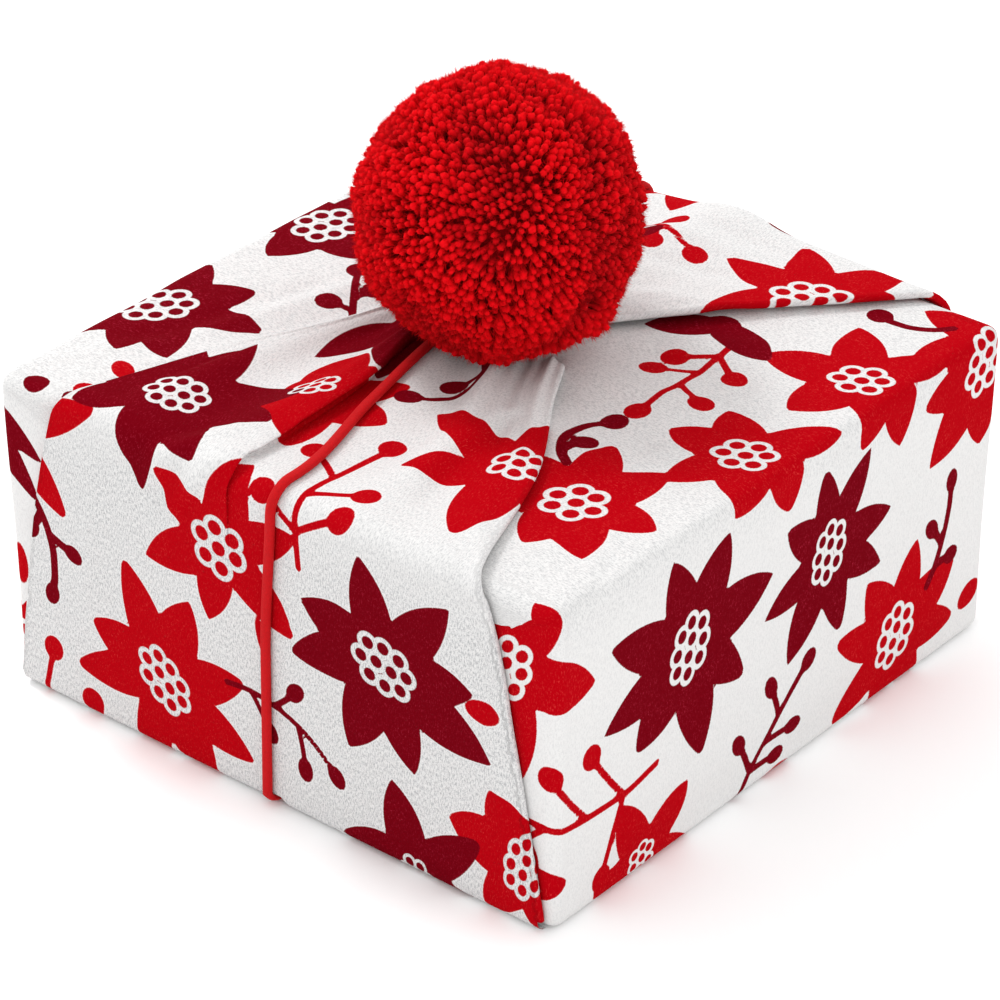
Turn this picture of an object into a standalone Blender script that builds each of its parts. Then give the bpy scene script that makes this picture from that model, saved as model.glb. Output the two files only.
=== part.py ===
"""Furoshiki wrap on a square gift box, closed with a pompom on an elastic band.

Metres, +Z up. The origin is the middle of the underside. The long folded flaps
come over the box from -Y (front) and +Y (back); the plain panels come from -X
and +X and wrap a little way round the upright corners, under the flaps.
The cloth is one net: a floor panel with four arms, each arm a grid of points on
the cloth's inner face, thickened outwards.
"""

import math
import random
from collections import namedtuple

import bmesh
import bpy
import numpy as np
from mathutils import Vector

# Gift box
BOX_SIDE = 0.2010
BOX_FLOOR = 0.0036
BOX_TOP = 0.1022
BOX_EDGE_RADIUS = 0.0025

# Cloth thickness and the spaces between its layers
CLOTH = 0.0010
LAYER_GAP = 0.0004
FOLD_GAP = 0.0004
HEM_WIDTH = 0.013
HEM_FOOT_SHARE = 0.35
HEM_CREASE_SHARE = 0.8

# Inner faces of the side panels
PANEL_X = 0.1025
PANEL_Y = 0.1023
PANEL_TOP = 0.1027
CORNER_RADIUS = 0.0032
FOOT_RADIUS = 0.0030
SIDE_PANEL_END = 0.006

# Inner faces of the flaps, which lie over a panel and over their own turned-under fold
FLAP_RISE = CLOTH + LAYER_GAP + CLOTH + FOLD_GAP
FLAP_Y = PANEL_Y + FLAP_RISE
FLAP_RADIUS = CORNER_RADIUS + FLAP_RISE
FLAP_END = 0.001
MIDDLE_Y = 0.052
NECK_Y = 0.018
TURN_Y = PANEL_Y - CORNER_RADIUS
TURN_Z = PANEL_TOP - CORNER_RADIUS

# The elastic band and the channel that the floor panel leaves for it
BAND_WIDTH = 0.0032
BAND_HEIGHT = 0.0020
BAND_FLOOR_HEIGHT = 0.0014
BAND_GAP = 0.0005
CHANNEL_DEPTH = 0.0020
BAND_SIDES = 8
BAND_STEP = 0.0085
BAND_FLOOR_SHARES = (-0.6, 0.0, 0.6)

# Pompom
POMPOM_CENTRE = Vector((-0.0005, 0.0, 0.1520))
POMPOM_RADIUS = 0.0455
POMPOM_CORE = 0.031
POMPOM_SEAT = 0.1093
LOCK_TIP_SCALE = 0.62
LOCK_CROWN = 0.0016
LOCK_UNEVENNESS = 0.0022
ROOT_UNEVENNESS = 0.0008
SEAT_CAP = 0.868
SEAT_SCALE = 0.75
SEED = 12

MM = 0.001

# Places along a flap, from the floor up the wall and over the top to the pompom.
# Each column below says where one crease of the flap runs, as x in millimetres
# at those places, and how far it stands off the flap's plane there.
Crease = namedtuple(
    "Crease",
    "name floor waist edge brow middle neck end waist_lift brow_lift middle_lift neck_lift end_lift",
)

FRONT_CREASES = (
    Crease("left fold", -97.2, -92.9, -77.0, -75.0, -62.4, -47.8, -41.0, 0, 0.2, 0.4, 0.6, 0.4),
    Crease("left slope", -76.0, -74.0, -66.0, -65.0, -56.0, -45.2, -39.0, 0.2, 0.6, 0.8, 0.9, 0.6),
    Crease("left ridge", -55.0, -55.0, -54.6, -54.4, -50.0, -42.5, -37.0, 0, 1.5, 2.4, 2.4, 1.0),
    Crease("left valley", -38.0, -38.0, -37.5, -37.0, -34.0, -32.0, -31.0, 0.1, -0.7, -1.2, -1.2, -0.9),
    Crease("lapped ridge", -22.0, -22.0, -20.4, -20.0, -18.4, -24.0, -26.0, 0, 2.6, 4.2, 2.9, 1.0),
    Crease("lap edge", -13.0, -14.0, -12.6, -12.2, -12.6, -20.8, -23.4, 0, 1.2, 2.9, 1.6, 0.4),
    Crease("slit", -5.6, -8.0, -10.8, -11.6, -14.2, -20.6, -22.0, 0, -0.6, -1.0, -1.0, -0.9),
    Crease("band left", -2.5, -2.4, 1.8, 2.4, -8.6, -17.6, -19.6, 0, -0.2, -0.6, -0.8, -1.0),
    Crease("band", 0.0, 0.2, 4.4, 5.0, -6.0, -15.0, -17.0, 0, -0.2, -0.6, -0.8, -1.0),
    Crease("band right", 2.5, 2.8, 7.0, 7.6, -3.4, -12.4, -14.4, 0, -0.2, -0.6, -0.8, -1.0),
    Crease("near valley", 5.6, 12.0, 18.0, 18.5, 12.4, 1.0, -6.0, 0.2, 0.2, -1.0, -1.4, -1.0),
    Crease("near ridge", 34.0, 33.0, 30.0, 29.0, 21.6, 7.4, 0.5, 0, 0.9, 2.0, 2.3, 1.0),
    Crease("far valley", 55.0, 50.0, 45.5, 43.5, 32.6, 13.4, 6.0, 0.2, -0.2, -1.1, -1.2, -0.9),
    Crease("right slope", 78.0, 71.0, 63.0, 57.0, 40.6, 19.4, 11.6, 0.3, 0.8, 1.5, 1.5, 0.8),
    Crease("right fold", 97.2, 85.9, 77.2, 67.8, 45.8, 24.2, 15.8, 0, 0.3, 0.5, 0.8, 0.5),
)

BACK_CREASES = (
    Crease("left fold", -97.2, -92.0, -80.0, -78.0, -64.0, -49.0, -43.0, 0, 0.2, 0.4, 0.6, 0.4),
    Crease("left slope", -76.0, -74.0, -70.0, -69.0, -58.0, -45.6, -40.0, 0.2, 0.6, 0.8, 0.9, 0.6),
    Crease("left ridge", -55.0, -60.0, -61.0, -60.0, -51.0, -41.0, -37.0, 0, 1.2, 2.0, 2.0, 1.0),
    Crease("left valley", -38.0, -48.0, -52.0, -51.0, -43.0, -35.0, -32.0, 0, -0.5, -1.0, -1.1, -0.9),
    Crease("lapped ridge", -22.0, -36.0, -43.0, -42.0, -34.6, -29.0, -26.6, 0, 0.8, 1.8, 1.8, 0.8),
    Crease("lap edge", -13.0, -29.0, -39.0, -38.0, -30.4, -26.0, -24.4, 0, 0.2, 0.5, 0.5, 0.2),
    Crease("slit", -5.6, -23.0, -35.6, -34.8, -27.0, -24.2, -22.4, 0, -0.3, -0.8, -1.0, -0.9),
    Crease("band left", -2.5, -19.8, -33.0, -32.2, -24.4, -21.4, -19.6, 0, -0.2, -0.6, -0.8, -1.0),
    Crease("band", 0.0, -17.2, -30.4, -29.6, -21.8, -18.8, -17.0, 0, -0.2, -0.6, -0.8, -1.0),
    Crease("band right", 2.5, -14.6, -27.8, -27.0, -19.2, -16.2, -14.4, 0, -0.2, -0.6, -0.8, -1.0),
    Crease("near valley", 5.6, -6.0, -12.0, -11.0, -12.0, -10.0, -8.0, 0.2, 1.4, 1.2, -0.4, -0.8),
    Crease("rolled ridge", 34.0, 16.0, 9.0, 6.5, -3.0, -2.4, -2.0, 0.3, 5.0, 6.0, 2.8, 1.2),
    Crease("far slope", 55.0, 45.0, 34.0, 29.0, 12.0, 2.6, 1.6, 0.3, 1.6, 2.6, 2.4, 1.1),
    Crease("right slope", 78.0, 72.0, 64.0, 57.0, 26.0, 7.2, 5.0, 0.3, 0.8, 2.0, 2.4, 1.0),
    Crease("right fold", 97.2, 91.7, 82.4, 76.0, 36.0, 11.6, 8.6, 0, 0.6, 1.8, 2.2, 0.8),
)

EDGE_LIFT_SHARE = 0.45

FRONT = -1
BACK = 1
LEFT = -1
RIGHT = 1

# Grid steps
FOOT_STEPS = 3
WALL_STEPS = 6
TURN_STEPS = 4
FLAP_TOP_STEPS = 11
PANEL_TOP_STEPS = 5
PANEL_COLUMNS = 9
CORNER_STEPS = 2
SPLIT_OVER = 17.0

# Side panels: how far the cloth reaches past the upright corners, and the slope of its top
TAB_AT_FOOT = 0.014
TAB_AT_EDGE = 0.032
LIP_DROP = 0.014
LIP_RISE_SHARE = 0.35
LIP_REACH_SHARE = 0.12
PANEL_TAPER_END = 0.044
PANEL_TAPER_SLOPE = 1.08

WELD = 0.00002
SHARP_ANGLE = math.radians(35)


def smooth(places, values, at):
    """Monotone cubic through (places, values), read at one place."""
    places = np.asarray(places, float)
    values = np.asarray(values, float)
    steps = np.diff(places)
    slopes = np.diff(values) / steps
    tangents = np.zeros(len(values))
    tangents[0], tangents[-1] = slopes[0], slopes[-1]
    for i in range(1, len(values) - 1):
        if slopes[i - 1] * slopes[i] > 0:
            tangents[i] = 2 * slopes[i - 1] * slopes[i] / (slopes[i - 1] + slopes[i])
    i = int(np.clip(np.searchsorted(places, at) - 1, 0, len(steps) - 1))
    t = min(max((at - places[i]) / steps[i], 0.0), 1.0)
    h = steps[i]
    return (
        values[i] * (1 + 2 * t) * (1 - t) ** 2
        + tangents[i] * h * t * (1 - t) ** 2
        + values[i + 1] * t * t * (3 - 2 * t)
        + tangents[i + 1] * h * t * t * (t - 1)
    )


# A flap's path in its own plane: lengths of its foot curve, wall, top curve and top
FOOT_LENGTH = FOOT_RADIUS * math.pi / 2
WALL_LENGTH = TURN_Z - CLOTH - FOOT_RADIUS
TURN_LENGTH = FLAP_RADIUS * math.pi / 2
TOP_LENGTH = TURN_Y - FLAP_END
WALL_START = FOOT_LENGTH
TURN_START = WALL_START + WALL_LENGTH
TOP_START = TURN_START + TURN_LENGTH
PLACES = (
    WALL_START,
    WALL_START + WALL_LENGTH / 2,
    TURN_START,
    TOP_START,
    TOP_START + TURN_Y - MIDDLE_Y,
    TOP_START + TURN_Y - NECK_Y,
    TOP_START + TOP_LENGTH,
)
LIFT_PLACES = (0.0,) + PLACES


def flap_rows():
    """Distances along a flap at which its grid has a row."""
    rows = [FOOT_LENGTH * i / FOOT_STEPS for i in range(FOOT_STEPS)]
    rows += [WALL_START + WALL_LENGTH * i / WALL_STEPS for i in range(WALL_STEPS)]
    rows += [TURN_START + TURN_LENGTH * i / TURN_STEPS for i in range(TURN_STEPS)]
    rows += [TOP_START + TOP_LENGTH * i / FLAP_TOP_STEPS for i in range(FLAP_TOP_STEPS + 1)]
    return rows


def flap_path(distance):
    """Inner face of a flap with no creases: (y, z) outwards from the middle, and its normal."""
    if distance < WALL_START:
        angle = -math.pi / 2 + distance / FOOT_RADIUS
        normal = (math.cos(angle), math.sin(angle))
        centre = (FLAP_Y - FOOT_RADIUS, CLOTH + FOOT_RADIUS)
        return tuple(c + FOOT_RADIUS * n for c, n in zip(centre, normal)), normal
    if distance < TURN_START:
        return (FLAP_Y, CLOTH + FOOT_RADIUS + distance - WALL_START), (1.0, 0.0)
    if distance < TOP_START:
        angle = (distance - TURN_START) / FLAP_RADIUS
        normal = (math.cos(angle), math.sin(angle))
        return (TURN_Y + FLAP_RADIUS * normal[0], TURN_Z + FLAP_RADIUS * normal[1]), normal
    return (TURN_Y - (distance - TOP_START), TURN_Z + FLAP_RADIUS), (0.0, 1.0)


def crease_x(crease, distance):
    """Where a crease runs across the flap, in metres."""
    values = (crease.floor, crease.waist, crease.edge, crease.brow, crease.middle, crease.neck, crease.end)
    return smooth(PLACES, values, distance) * MM


def crease_lift(crease, distance):
    """How far a crease stands off the flap's plane, in metres, with the channel under the box."""
    on_wall = (0.0, 0.0, crease.waist_lift, crease.brow_lift * EDGE_LIFT_SHARE)
    on_top = (crease.brow_lift, crease.middle_lift, crease.neck_lift, crease.end_lift)
    lift = smooth(LIFT_PLACES, on_wall + on_top, distance) * MM
    if crease.name.startswith("band") and distance < FOOT_LENGTH:
        lift -= CHANNEL_DEPTH * (1 - (distance / FOOT_LENGTH) ** 2)
    return lift


def flap_point(side, distance, x, lift):
    """A point of the flap's inner face, raised along its normal."""
    (y, z), (ny, nz) = flap_path(distance)
    return Vector((x, side * (y + ny * lift), z + nz * lift))


def split_columns(creases):
    """Pairs (left crease, right crease, share) for the flap's grid; wide gaps get one column more."""
    columns = []
    for left, right in zip(creases, creases[1:]):
        columns.append((left, right, 0.0))
        if abs(right.floor - left.floor) > SPLIT_OVER:
            columns.append((left, right, 0.5))
    columns.append((creases[-2], creases[-1], 1.0))
    return columns


def column_point(side, column, distance):
    """The flap's inner face on one column of its grid."""
    left, right, share = column
    x = crease_x(left, distance) * (1 - share) + crease_x(right, distance) * share
    lift = crease_lift(left, distance) * (1 - share) + crease_lift(right, distance) * share
    return flap_point(side, distance, x, lift)


def hem_columns(side, creases, at_right, distance):
    """Points of the turned-under cloth at one fold, from the fold's crest to its raw edge."""
    crease, inner = (creases[-1], creases[-2]) if at_right else (creases[0], creases[1])
    outwards = 1 if at_right else -1
    x, lift = crease_x(crease, distance), crease_lift(crease, distance)
    radius = FOLD_GAP / 2
    points = []
    for angle in (0, math.pi / 2, math.pi):
        turned = x + outwards * radius * math.sin(angle)
        points.append(flap_point(side, distance, turned, lift - radius * (1 - math.cos(angle))))
    width = min(HEM_WIDTH, HEM_CREASE_SHARE * abs(x - crease_x(inner, distance)))
    width *= min(1.0, HEM_FOOT_SHARE + (distance - WALL_START) / WALL_LENGTH)
    for share in (0.5, 1.0):
        points.append(flap_point(side, distance, x - outwards * width * share, lift - FOLD_GAP))
    return points


def panel_rows():
    """Rows of a side panel: centre of curvature (x, z), radius, angle and whether it is wall or top."""
    rows = []
    foot = (PANEL_X - FOOT_RADIUS, CLOTH + FOOT_RADIUS)
    for i in range(FOOT_STEPS):
        rows.append((foot, FOOT_RADIUS, -math.pi / 2 + math.pi / 2 * i / FOOT_STEPS, "foot"))
    wall = TURN_Z - foot[1]
    turn_x = PANEL_X - CORNER_RADIUS
    for i in range(WALL_STEPS):
        rows.append(((turn_x, foot[1] + wall * i / WALL_STEPS), CORNER_RADIUS, 0.0, "wall"))
    for i in range(TURN_STEPS):
        rows.append(((turn_x, TURN_Z), CORNER_RADIUS, math.pi / 2 * i / TURN_STEPS, "turn"))
    tapered = turn_x - (turn_x - SIDE_PANEL_END) / PANEL_TOP_STEPS
    for x in (turn_x, (turn_x + tapered) / 2, tapered):
        rows.append(((x, TURN_Z), CORNER_RADIUS, math.pi / 2, "top"))
    for i in range(1, PANEL_TOP_STEPS):
        x = tapered + (SIDE_PANEL_END - tapered) * i / (PANEL_TOP_STEPS - 1)
        rows.append(((x, TURN_Z), CORNER_RADIUS, math.pi / 2, "top"))
    return rows


def panel_half_width(x, kind):
    """Half width of a side panel, which narrows over the top towards the pompom."""
    if kind != "top":
        return TURN_Y
    return min(TURN_Y, PANEL_TAPER_END + PANEL_TAPER_SLOPE * x)


def corner_points(row, end):
    """Points of a side panel's row that wrap round the upright corner at y = end * TURN_Y."""
    (cx, cz), radius, angle, kind = row
    points = []
    for i in range(CORNER_STEPS + 1):
        turn = math.pi / 2 * i / CORNER_STEPS
        out = radius * math.cos(turn)
        y = end * (TURN_Y + radius * math.sin(turn))
        points.append(Vector((cx + out * math.cos(angle), y, cz + out * math.sin(angle))))
    turn_x = PANEL_X - CORNER_RADIUS
    climb = (cz - CLOTH - FOOT_RADIUS) / (TURN_Z - CLOTH - FOOT_RADIUS)
    reach = TAB_AT_FOOT + (TAB_AT_EDGE - TAB_AT_FOOT) * climb
    inner_x = turn_x - reach
    inner_z = TURN_Z - LIP_DROP
    if kind == "wall":
        inner = (inner_x, cz - LIP_DROP * climb)
    elif kind == "turn":
        inner = (inner_x, inner_z)
    else:
        along = (turn_x - cx) / (turn_x - SIDE_PANEL_END) * PANEL_TOP_STEPS
        inner = (inner_x - reach * LIP_REACH_SHARE * along, inner_z + LIP_DROP * LIP_RISE_SHARE * along)
    for share in (0.5, 1.0):
        x = cx + (inner[0] - cx) * share
        z = cz + (inner[1] - cz) * share
        points.append(Vector((x, end * PANEL_Y, z)))
    return points


def add_grid(mesh, rows, side_out):
    """Add a grid of quads to the mesh; rows is a list of equally long lists of points."""
    layers = [[mesh.verts.new(point) for point in row] for row in rows]
    for lower, upper in zip(layers, layers[1:]):
        for i in range(len(lower) - 1):
            corners = [lower[i], lower[i + 1], upper[i + 1], upper[i]]
            if not side_out:
                corners.reverse()
            mesh.faces.new(corners)


def mirror_x(rows, side):
    """Move rows of points from the right side to the left one."""
    return [[Vector((point.x * side, point.y, point.z)) for point in row] for row in rows]


def floor_rows(columns, panel_ys):
    """Points of the floor panel, with the channel for the band."""
    rows = []
    flap_foot = FLAP_Y - FOOT_RADIUS
    panel_foot = PANEL_X - FOOT_RADIUS
    for y in [-flap_foot] + panel_ys + [flap_foot]:
        row = [Vector((-panel_foot, y, CLOTH))]
        for column in columns:
            point = column_point(FRONT, column, 0.0)
            row.append(Vector((point.x, y, point.z)))
        rows.append(row + [Vector((panel_foot, y, CLOTH))])
    return rows


def build_cloth():
    """The whole cloth as one net, thickened outwards."""
    mesh = bmesh.new()
    distances = flap_rows()
    panel_ys = [TURN_Y * (-1 + 2 * i / PANEL_COLUMNS) for i in range(PANEL_COLUMNS + 1)]
    for side, creases in ((FRONT, FRONT_CREASES), (BACK, BACK_CREASES)):
        columns = split_columns(creases)
        grid = [[column_point(side, column, d) for column in columns] for d in distances]
        add_grid(mesh, grid, side == FRONT)
        for at_right in (False, True):
            hem = [hem_columns(side, creases, at_right, d) for d in distances[FOOT_STEPS:]]
            add_grid(mesh, hem, (side == FRONT) == at_right)
    rows = panel_rows()
    for side in (LEFT, RIGHT):
        grid = []
        for (cx, cz), radius, angle, kind in rows:
            x, z = cx + radius * math.cos(angle), cz + radius * math.sin(angle)
            scale = panel_half_width(cx, kind) / TURN_Y
            grid.append([Vector((x, y * scale, z)) for y in panel_ys])
        add_grid(mesh, mirror_x(grid, side), side == RIGHT)
        full = [row for row in rows if row[3] != "foot" and panel_half_width(row[0][0], row[3]) == TURN_Y]
        for end in (FRONT, BACK):
            wrap = [corner_points(row, end) for row in full]
            add_grid(mesh, mirror_x(wrap, side), (side == RIGHT) == (end == BACK))
    add_grid(mesh, floor_rows(split_columns(FRONT_CREASES), panel_ys), False)
    bmesh.ops.remove_doubles(mesh, verts=mesh.verts, dist=WELD)
    bmesh.ops.dissolve_degenerate(mesh, edges=mesh.edges, dist=WELD / 2)
    cloth = add_object("wrapping_cloth", mesh, MATERIALS["printed cotton"])
    thicken = cloth.modifiers.new("Cloth thickness", "SOLIDIFY")
    thicken.thickness = CLOTH
    thicken.offset = 1.0
    thicken.use_even_offset = True
    thicken.use_quality_normals = True
    return cloth


def build_box():
    """Plain carton with slightly rounded edges."""
    mesh = bmesh.new()
    bmesh.ops.create_cube(mesh, size=1.0)
    height = BOX_TOP - BOX_FLOOR
    bmesh.ops.scale(mesh, vec=(BOX_SIDE, BOX_SIDE, height), verts=mesh.verts)
    box = add_object("gift_box", mesh, MATERIALS["white board"])
    box.location.z = BOX_FLOOR + height / 2
    rounding = box.modifiers.new("Rounded edges", "BEVEL")
    rounding.width = BOX_EDGE_RADIUS
    rounding.segments = 2
    return box


def band_stations():
    """Centre, surface normal and height of the band round its whole loop."""
    stations = []
    distances = flap_rows()
    halved = []
    for start, end in zip(distances, distances[1:]):
        parts = max(1, round((end - start) / BAND_STEP))
        halved += [start + (end - start) * i / parts for i in range(parts)]
    halved.append(distances[-1])
    for side, creases, order in ((FRONT, FRONT_CREASES, halved[::-1]), (BACK, BACK_CREASES, halved)):
        crease = next(row for row in creases if row.name == "band")
        for distance in order:
            ny, nz = flap_path(distance)[1]
            rise = min(1.0, distance / FOOT_LENGTH)
            height = BAND_FLOOR_HEIGHT + (BAND_HEIGHT - BAND_FLOOR_HEIGHT) * rise
            lift = crease_lift(crease, distance) + CLOTH + BAND_GAP + height / 2
            centre = flap_point(side, distance, crease_x(crease, distance), lift)
            stations.append((centre, Vector((0, side * ny, nz)), height))
        if side == FRONT:
            foot = stations[-1]
            for share in BAND_FLOOR_SHARES:
                stations.append((Vector((foot[0].x, share * PANEL_Y, foot[0].z)), foot[1], foot[2]))
    return stations


def build_band():
    """Flattened elastic cord in one closed loop."""
    mesh = bmesh.new()
    stations = band_stations()
    rings = []
    for i, (centre, normal, height) in enumerate(stations):
        ahead = stations[(i + 1) % len(stations)][0] - stations[i - 1][0]
        across = ahead.cross(normal).normalized()
        up = across.cross(ahead).normalized()
        ring = []
        for k in range(BAND_SIDES):
            angle = 2 * math.pi * (k + 0.5) / BAND_SIDES
            offset = across * (BAND_WIDTH / 2 * math.cos(angle)) + up * (height / 2 * math.sin(angle))
            ring.append(mesh.verts.new(centre + offset))
        rings.append(ring)
    for ring, after in zip(rings, rings[1:] + rings[:1]):
        for k in range(BAND_SIDES):
            j = (k + 1) % BAND_SIDES
            mesh.faces.new((ring[k], ring[j], after[j], after[k]))
    bmesh.ops.recalc_face_normals(mesh, faces=mesh.faces)
    return add_object("elastic_band", mesh, MATERIALS["red elastic"])


def lock_reach(towards, length):
    """Length of a lock in one direction, cut short where the ball sits on the cloth."""
    seat = POMPOM_SEAT - POMPOM_CENTRE.z
    return min(length, seat / towards.z) if towards.z < 0 else length


def build_pompom():
    """Ball of tapering yarn locks whose roots are fused, flattened where it sits on the cloth."""
    chance = random.Random(SEED)
    mesh = bmesh.new()
    bmesh.ops.create_icosphere(mesh, subdivisions=3, radius=POMPOM_CORE)
    for vert in mesh.verts:
        shift = Vector([chance.uniform(-ROOT_UNEVENNESS, ROOT_UNEVENNESS) for _ in range(3)])
        vert.co = (vert.co + shift).normalized() * POMPOM_CORE
    cap = [face for face in mesh.faces if face.calc_center_median().z <= -SEAT_CAP * POMPOM_CORE]
    locks = [face for face in mesh.faces if face not in cap]
    tied = bmesh.ops.extrude_face_region(mesh, geom=cap)["geom"]
    bmesh.ops.delete(mesh, geom=cap, context="FACES_KEEP_BOUNDARY")
    for vert in (item for item in tied if isinstance(item, bmesh.types.BMVert)):
        vert.co.x *= SEAT_SCALE
        vert.co.y *= SEAT_SCALE
        vert.co.z = POMPOM_SEAT - POMPOM_CENTRE.z
    tips = bmesh.ops.extrude_discrete_faces(mesh, faces=locks)["faces"]
    for tip in tips:
        length = POMPOM_RADIUS - chance.uniform(0.0, LOCK_UNEVENNESS)
        middle = tip.calc_center_median()
        for vert in tip.verts:
            towards = (middle + (vert.co - middle) * LOCK_TIP_SCALE).normalized()
            vert.co = towards * lock_reach(towards, length - LOCK_CROWN)
        crown = bmesh.ops.poke(mesh, faces=[tip])["verts"][0]
        crown.co = middle.normalized() * lock_reach(middle.normalized(), length)
    pompom = add_object("pompom", mesh, MATERIALS["red wool"])
    pompom.location = POMPOM_CENTRE
    return pompom


MATERIALS = {}


def add_material(name, colour, roughness):
    """A plain Principled material."""
    material = bpy.data.materials.new(name)
    material.use_nodes = True
    shader = material.node_tree.nodes["Principled BSDF"]
    shader.inputs["Base Color"].default_value = (*colour, 1.0)
    shader.inputs["Roughness"].default_value = roughness
    shader.inputs["Metallic"].default_value = 0.0
    material.diffuse_color = (*colour, 1.0)
    MATERIALS[name] = material


def add_object(name, mesh, material):
    """Turn a bmesh into a scene object, shaded smooth but for its sharp edges."""
    data = bpy.data.meshes.new(name)
    mesh.to_mesh(data)
    mesh.free()
    data.shade_smooth()
    data.set_sharp_from_angle(angle=SHARP_ANGLE)
    data.materials.append(material)
    thing = bpy.data.objects.new(name, data)
    bpy.context.scene.collection.objects.link(thing)
    return thing


def main():
    """Clear the scene and build the four pieces."""
    for thing in list(bpy.data.objects):
        bpy.data.objects.remove(thing, do_unlink=True)
    add_material("printed cotton", (0.89, 0.88, 0.87), 0.90)
    add_material("white board", (0.82, 0.81, 0.79), 0.80)
    add_material("red elastic", (0.72, 0.004, 0.006), 0.75)
    add_material("red wool", (0.62, 0.006, 0.008), 0.92)
    wrap = bpy.data.objects.new("furoshiki_wrap", None)
    bpy.context.scene.collection.objects.link(wrap)
    for piece in (build_box(), build_cloth(), build_band(), build_pompom()):
        piece.parent = wrap


main()
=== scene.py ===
"""Furoshiki wrap on a square gift box: a printed crepe cloth, a pompom and an elastic band.

Metres, +Z up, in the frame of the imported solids. The long folded flaps come over the
box from -Y (front) and +Y (back), the plain panels from -X (left) and +X (right).
Print positions are in millimetres along each arm of the cloth: u across it, v up the
wall and on over the top.
"""

import logging
import math
import random
from dataclasses import dataclass, field
from enum import Enum
from typing import Any

import bmesh
import bpy
import numpy as np
from mathutils import Matrix, Vector


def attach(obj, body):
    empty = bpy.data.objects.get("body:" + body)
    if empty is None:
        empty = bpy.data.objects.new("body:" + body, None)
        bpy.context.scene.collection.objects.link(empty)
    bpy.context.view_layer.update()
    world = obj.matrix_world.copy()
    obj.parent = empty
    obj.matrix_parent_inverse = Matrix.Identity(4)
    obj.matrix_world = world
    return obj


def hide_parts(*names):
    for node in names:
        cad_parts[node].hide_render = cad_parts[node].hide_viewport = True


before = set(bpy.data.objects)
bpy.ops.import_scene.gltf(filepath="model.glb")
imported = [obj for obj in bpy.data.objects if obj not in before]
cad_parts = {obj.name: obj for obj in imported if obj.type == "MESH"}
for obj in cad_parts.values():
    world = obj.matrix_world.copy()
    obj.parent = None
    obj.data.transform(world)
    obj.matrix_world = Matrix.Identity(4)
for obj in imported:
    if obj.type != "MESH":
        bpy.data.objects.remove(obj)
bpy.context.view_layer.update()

LOG = logging.getLogger("furoshiki wrap")
Array = np.ndarray
Spot = tuple[float, float]
MM = 0.001

# The cloth keeps its distance from an ink up to the first of these, a heart reaches out as
# far as the second, and the third stands for no motif at all
INK_REACH_MM = 9.0
HEART_REACH_MM = 16.0
FAR_MM = 99.0

# The third number of a print position tells the shader which grid it is on, flaps first
GRID_MARK = 7.3
FLAP_GRIDS = 6

# Angle from which a row of a side panel lies on the top, just under a right angle
ON_TOP = 1.57

BALL_MIDDLE = (-0.0009, -0.0005, 0.1466)


class Side(Enum):
    """The wall that a flap comes up: -Y or +Y."""

    FRONT = -1
    BACK = 1


class Hand(Enum):
    """The wall that a plain panel comes up: -X or +X."""

    LEFT = -1
    RIGHT = 1


class Dye(Enum):
    """The two inks of the print, as the place of their distance in the cloth's attribute."""

    RED = 0
    BURGUNDY = 1


class Heart(Enum):
    """The rings in a flower's middle, as how far off their pattern is kept in the shader."""

    TEN_RINGS = 0.0
    SEVEN_RINGS = 50.0
    NONE = FAR_MM


# Small helpers


def ink(code: str) -> tuple[float, float, float, float]:
    """Turn an sRGB hex colour into linear red, green, blue and alpha.

    Args:
        code: Six hex digits, with or without a leading #.

    Returns:
        The linear colour with alpha 1.
    """
    digits = code.lstrip("#")
    parts = [int(digits[i : i + 2], 16) / 255 for i in (0, 2, 4)]
    linear = [p / 12.92 if p <= 0.04045 else ((p + 0.055) / 1.055) ** 2.4 for p in parts]
    return (linear[0], linear[1], linear[2], 1.0)


def add_node(
    tree: bpy.types.NodeTree,
    kind: str,
    settings: dict[str, Any] | None = None,
    inputs: dict[str | int, Any] | None = None,
    output: str | int = 0,
) -> bpy.types.NodeSocket:
    """Add one node, with its settings, its input values and the links into it.

    Args:
        tree: The node tree that gets the node.
        kind: The node's type, such as "ShaderNodeMath".
        settings: Properties of the node and their values.
        inputs: Input names or numbers, each with a value or the socket that feeds it.
        output: Name or number of the output to hand back.

    Returns:
        That output of the new node.
    """
    node = tree.nodes.new(kind)
    for name, value in (settings or {}).items():
        setattr(node, name, value)
    for key, value in (inputs or {}).items():
        socket = node.inputs[key]
        if isinstance(value, bpy.types.NodeSocket):
            tree.links.new(value, socket)
        else:
            socket.default_value = value
    return node.outputs[output]


def smooth(places: Any, values: Any, at: Any) -> Array:
    """Read monotone cubics through (places, values) along the last axis of values.

    Args:
        places: Rising positions of the values.
        values: Values, with any axes before the last.
        at: Positions to read.

    Returns:
        The values at those positions, with the same axes before the last.
    """
    places, values, at = (np.asarray(item, float) for item in (places, values, at))
    steps = np.diff(places)
    slopes = np.diff(values, axis=-1) / steps
    product, total = slopes[..., :-1] * slopes[..., 1:], slopes[..., :-1] + slopes[..., 1:]
    inner = np.where(product > 0, 2 * product / np.where(total == 0, 1, total), 0.0)
    tangents = np.concatenate([slopes[..., :1], inner, slopes[..., -1:]], axis=-1)
    i = np.clip(np.searchsorted(places, at) - 1, 0, len(steps) - 1)
    h = steps[i]
    t = np.clip((at - places[i]) / h, 0.0, 1.0)
    return (
        values[..., i] * (1 + 2 * t) * (1 - t) ** 2
        + tangents[..., i] * h * t * (1 - t) ** 2
        + values[..., i + 1] * t * t * (3 - 2 * t)
        + tangents[..., i + 1] * h * t * t * (t - 1)
    )


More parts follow.
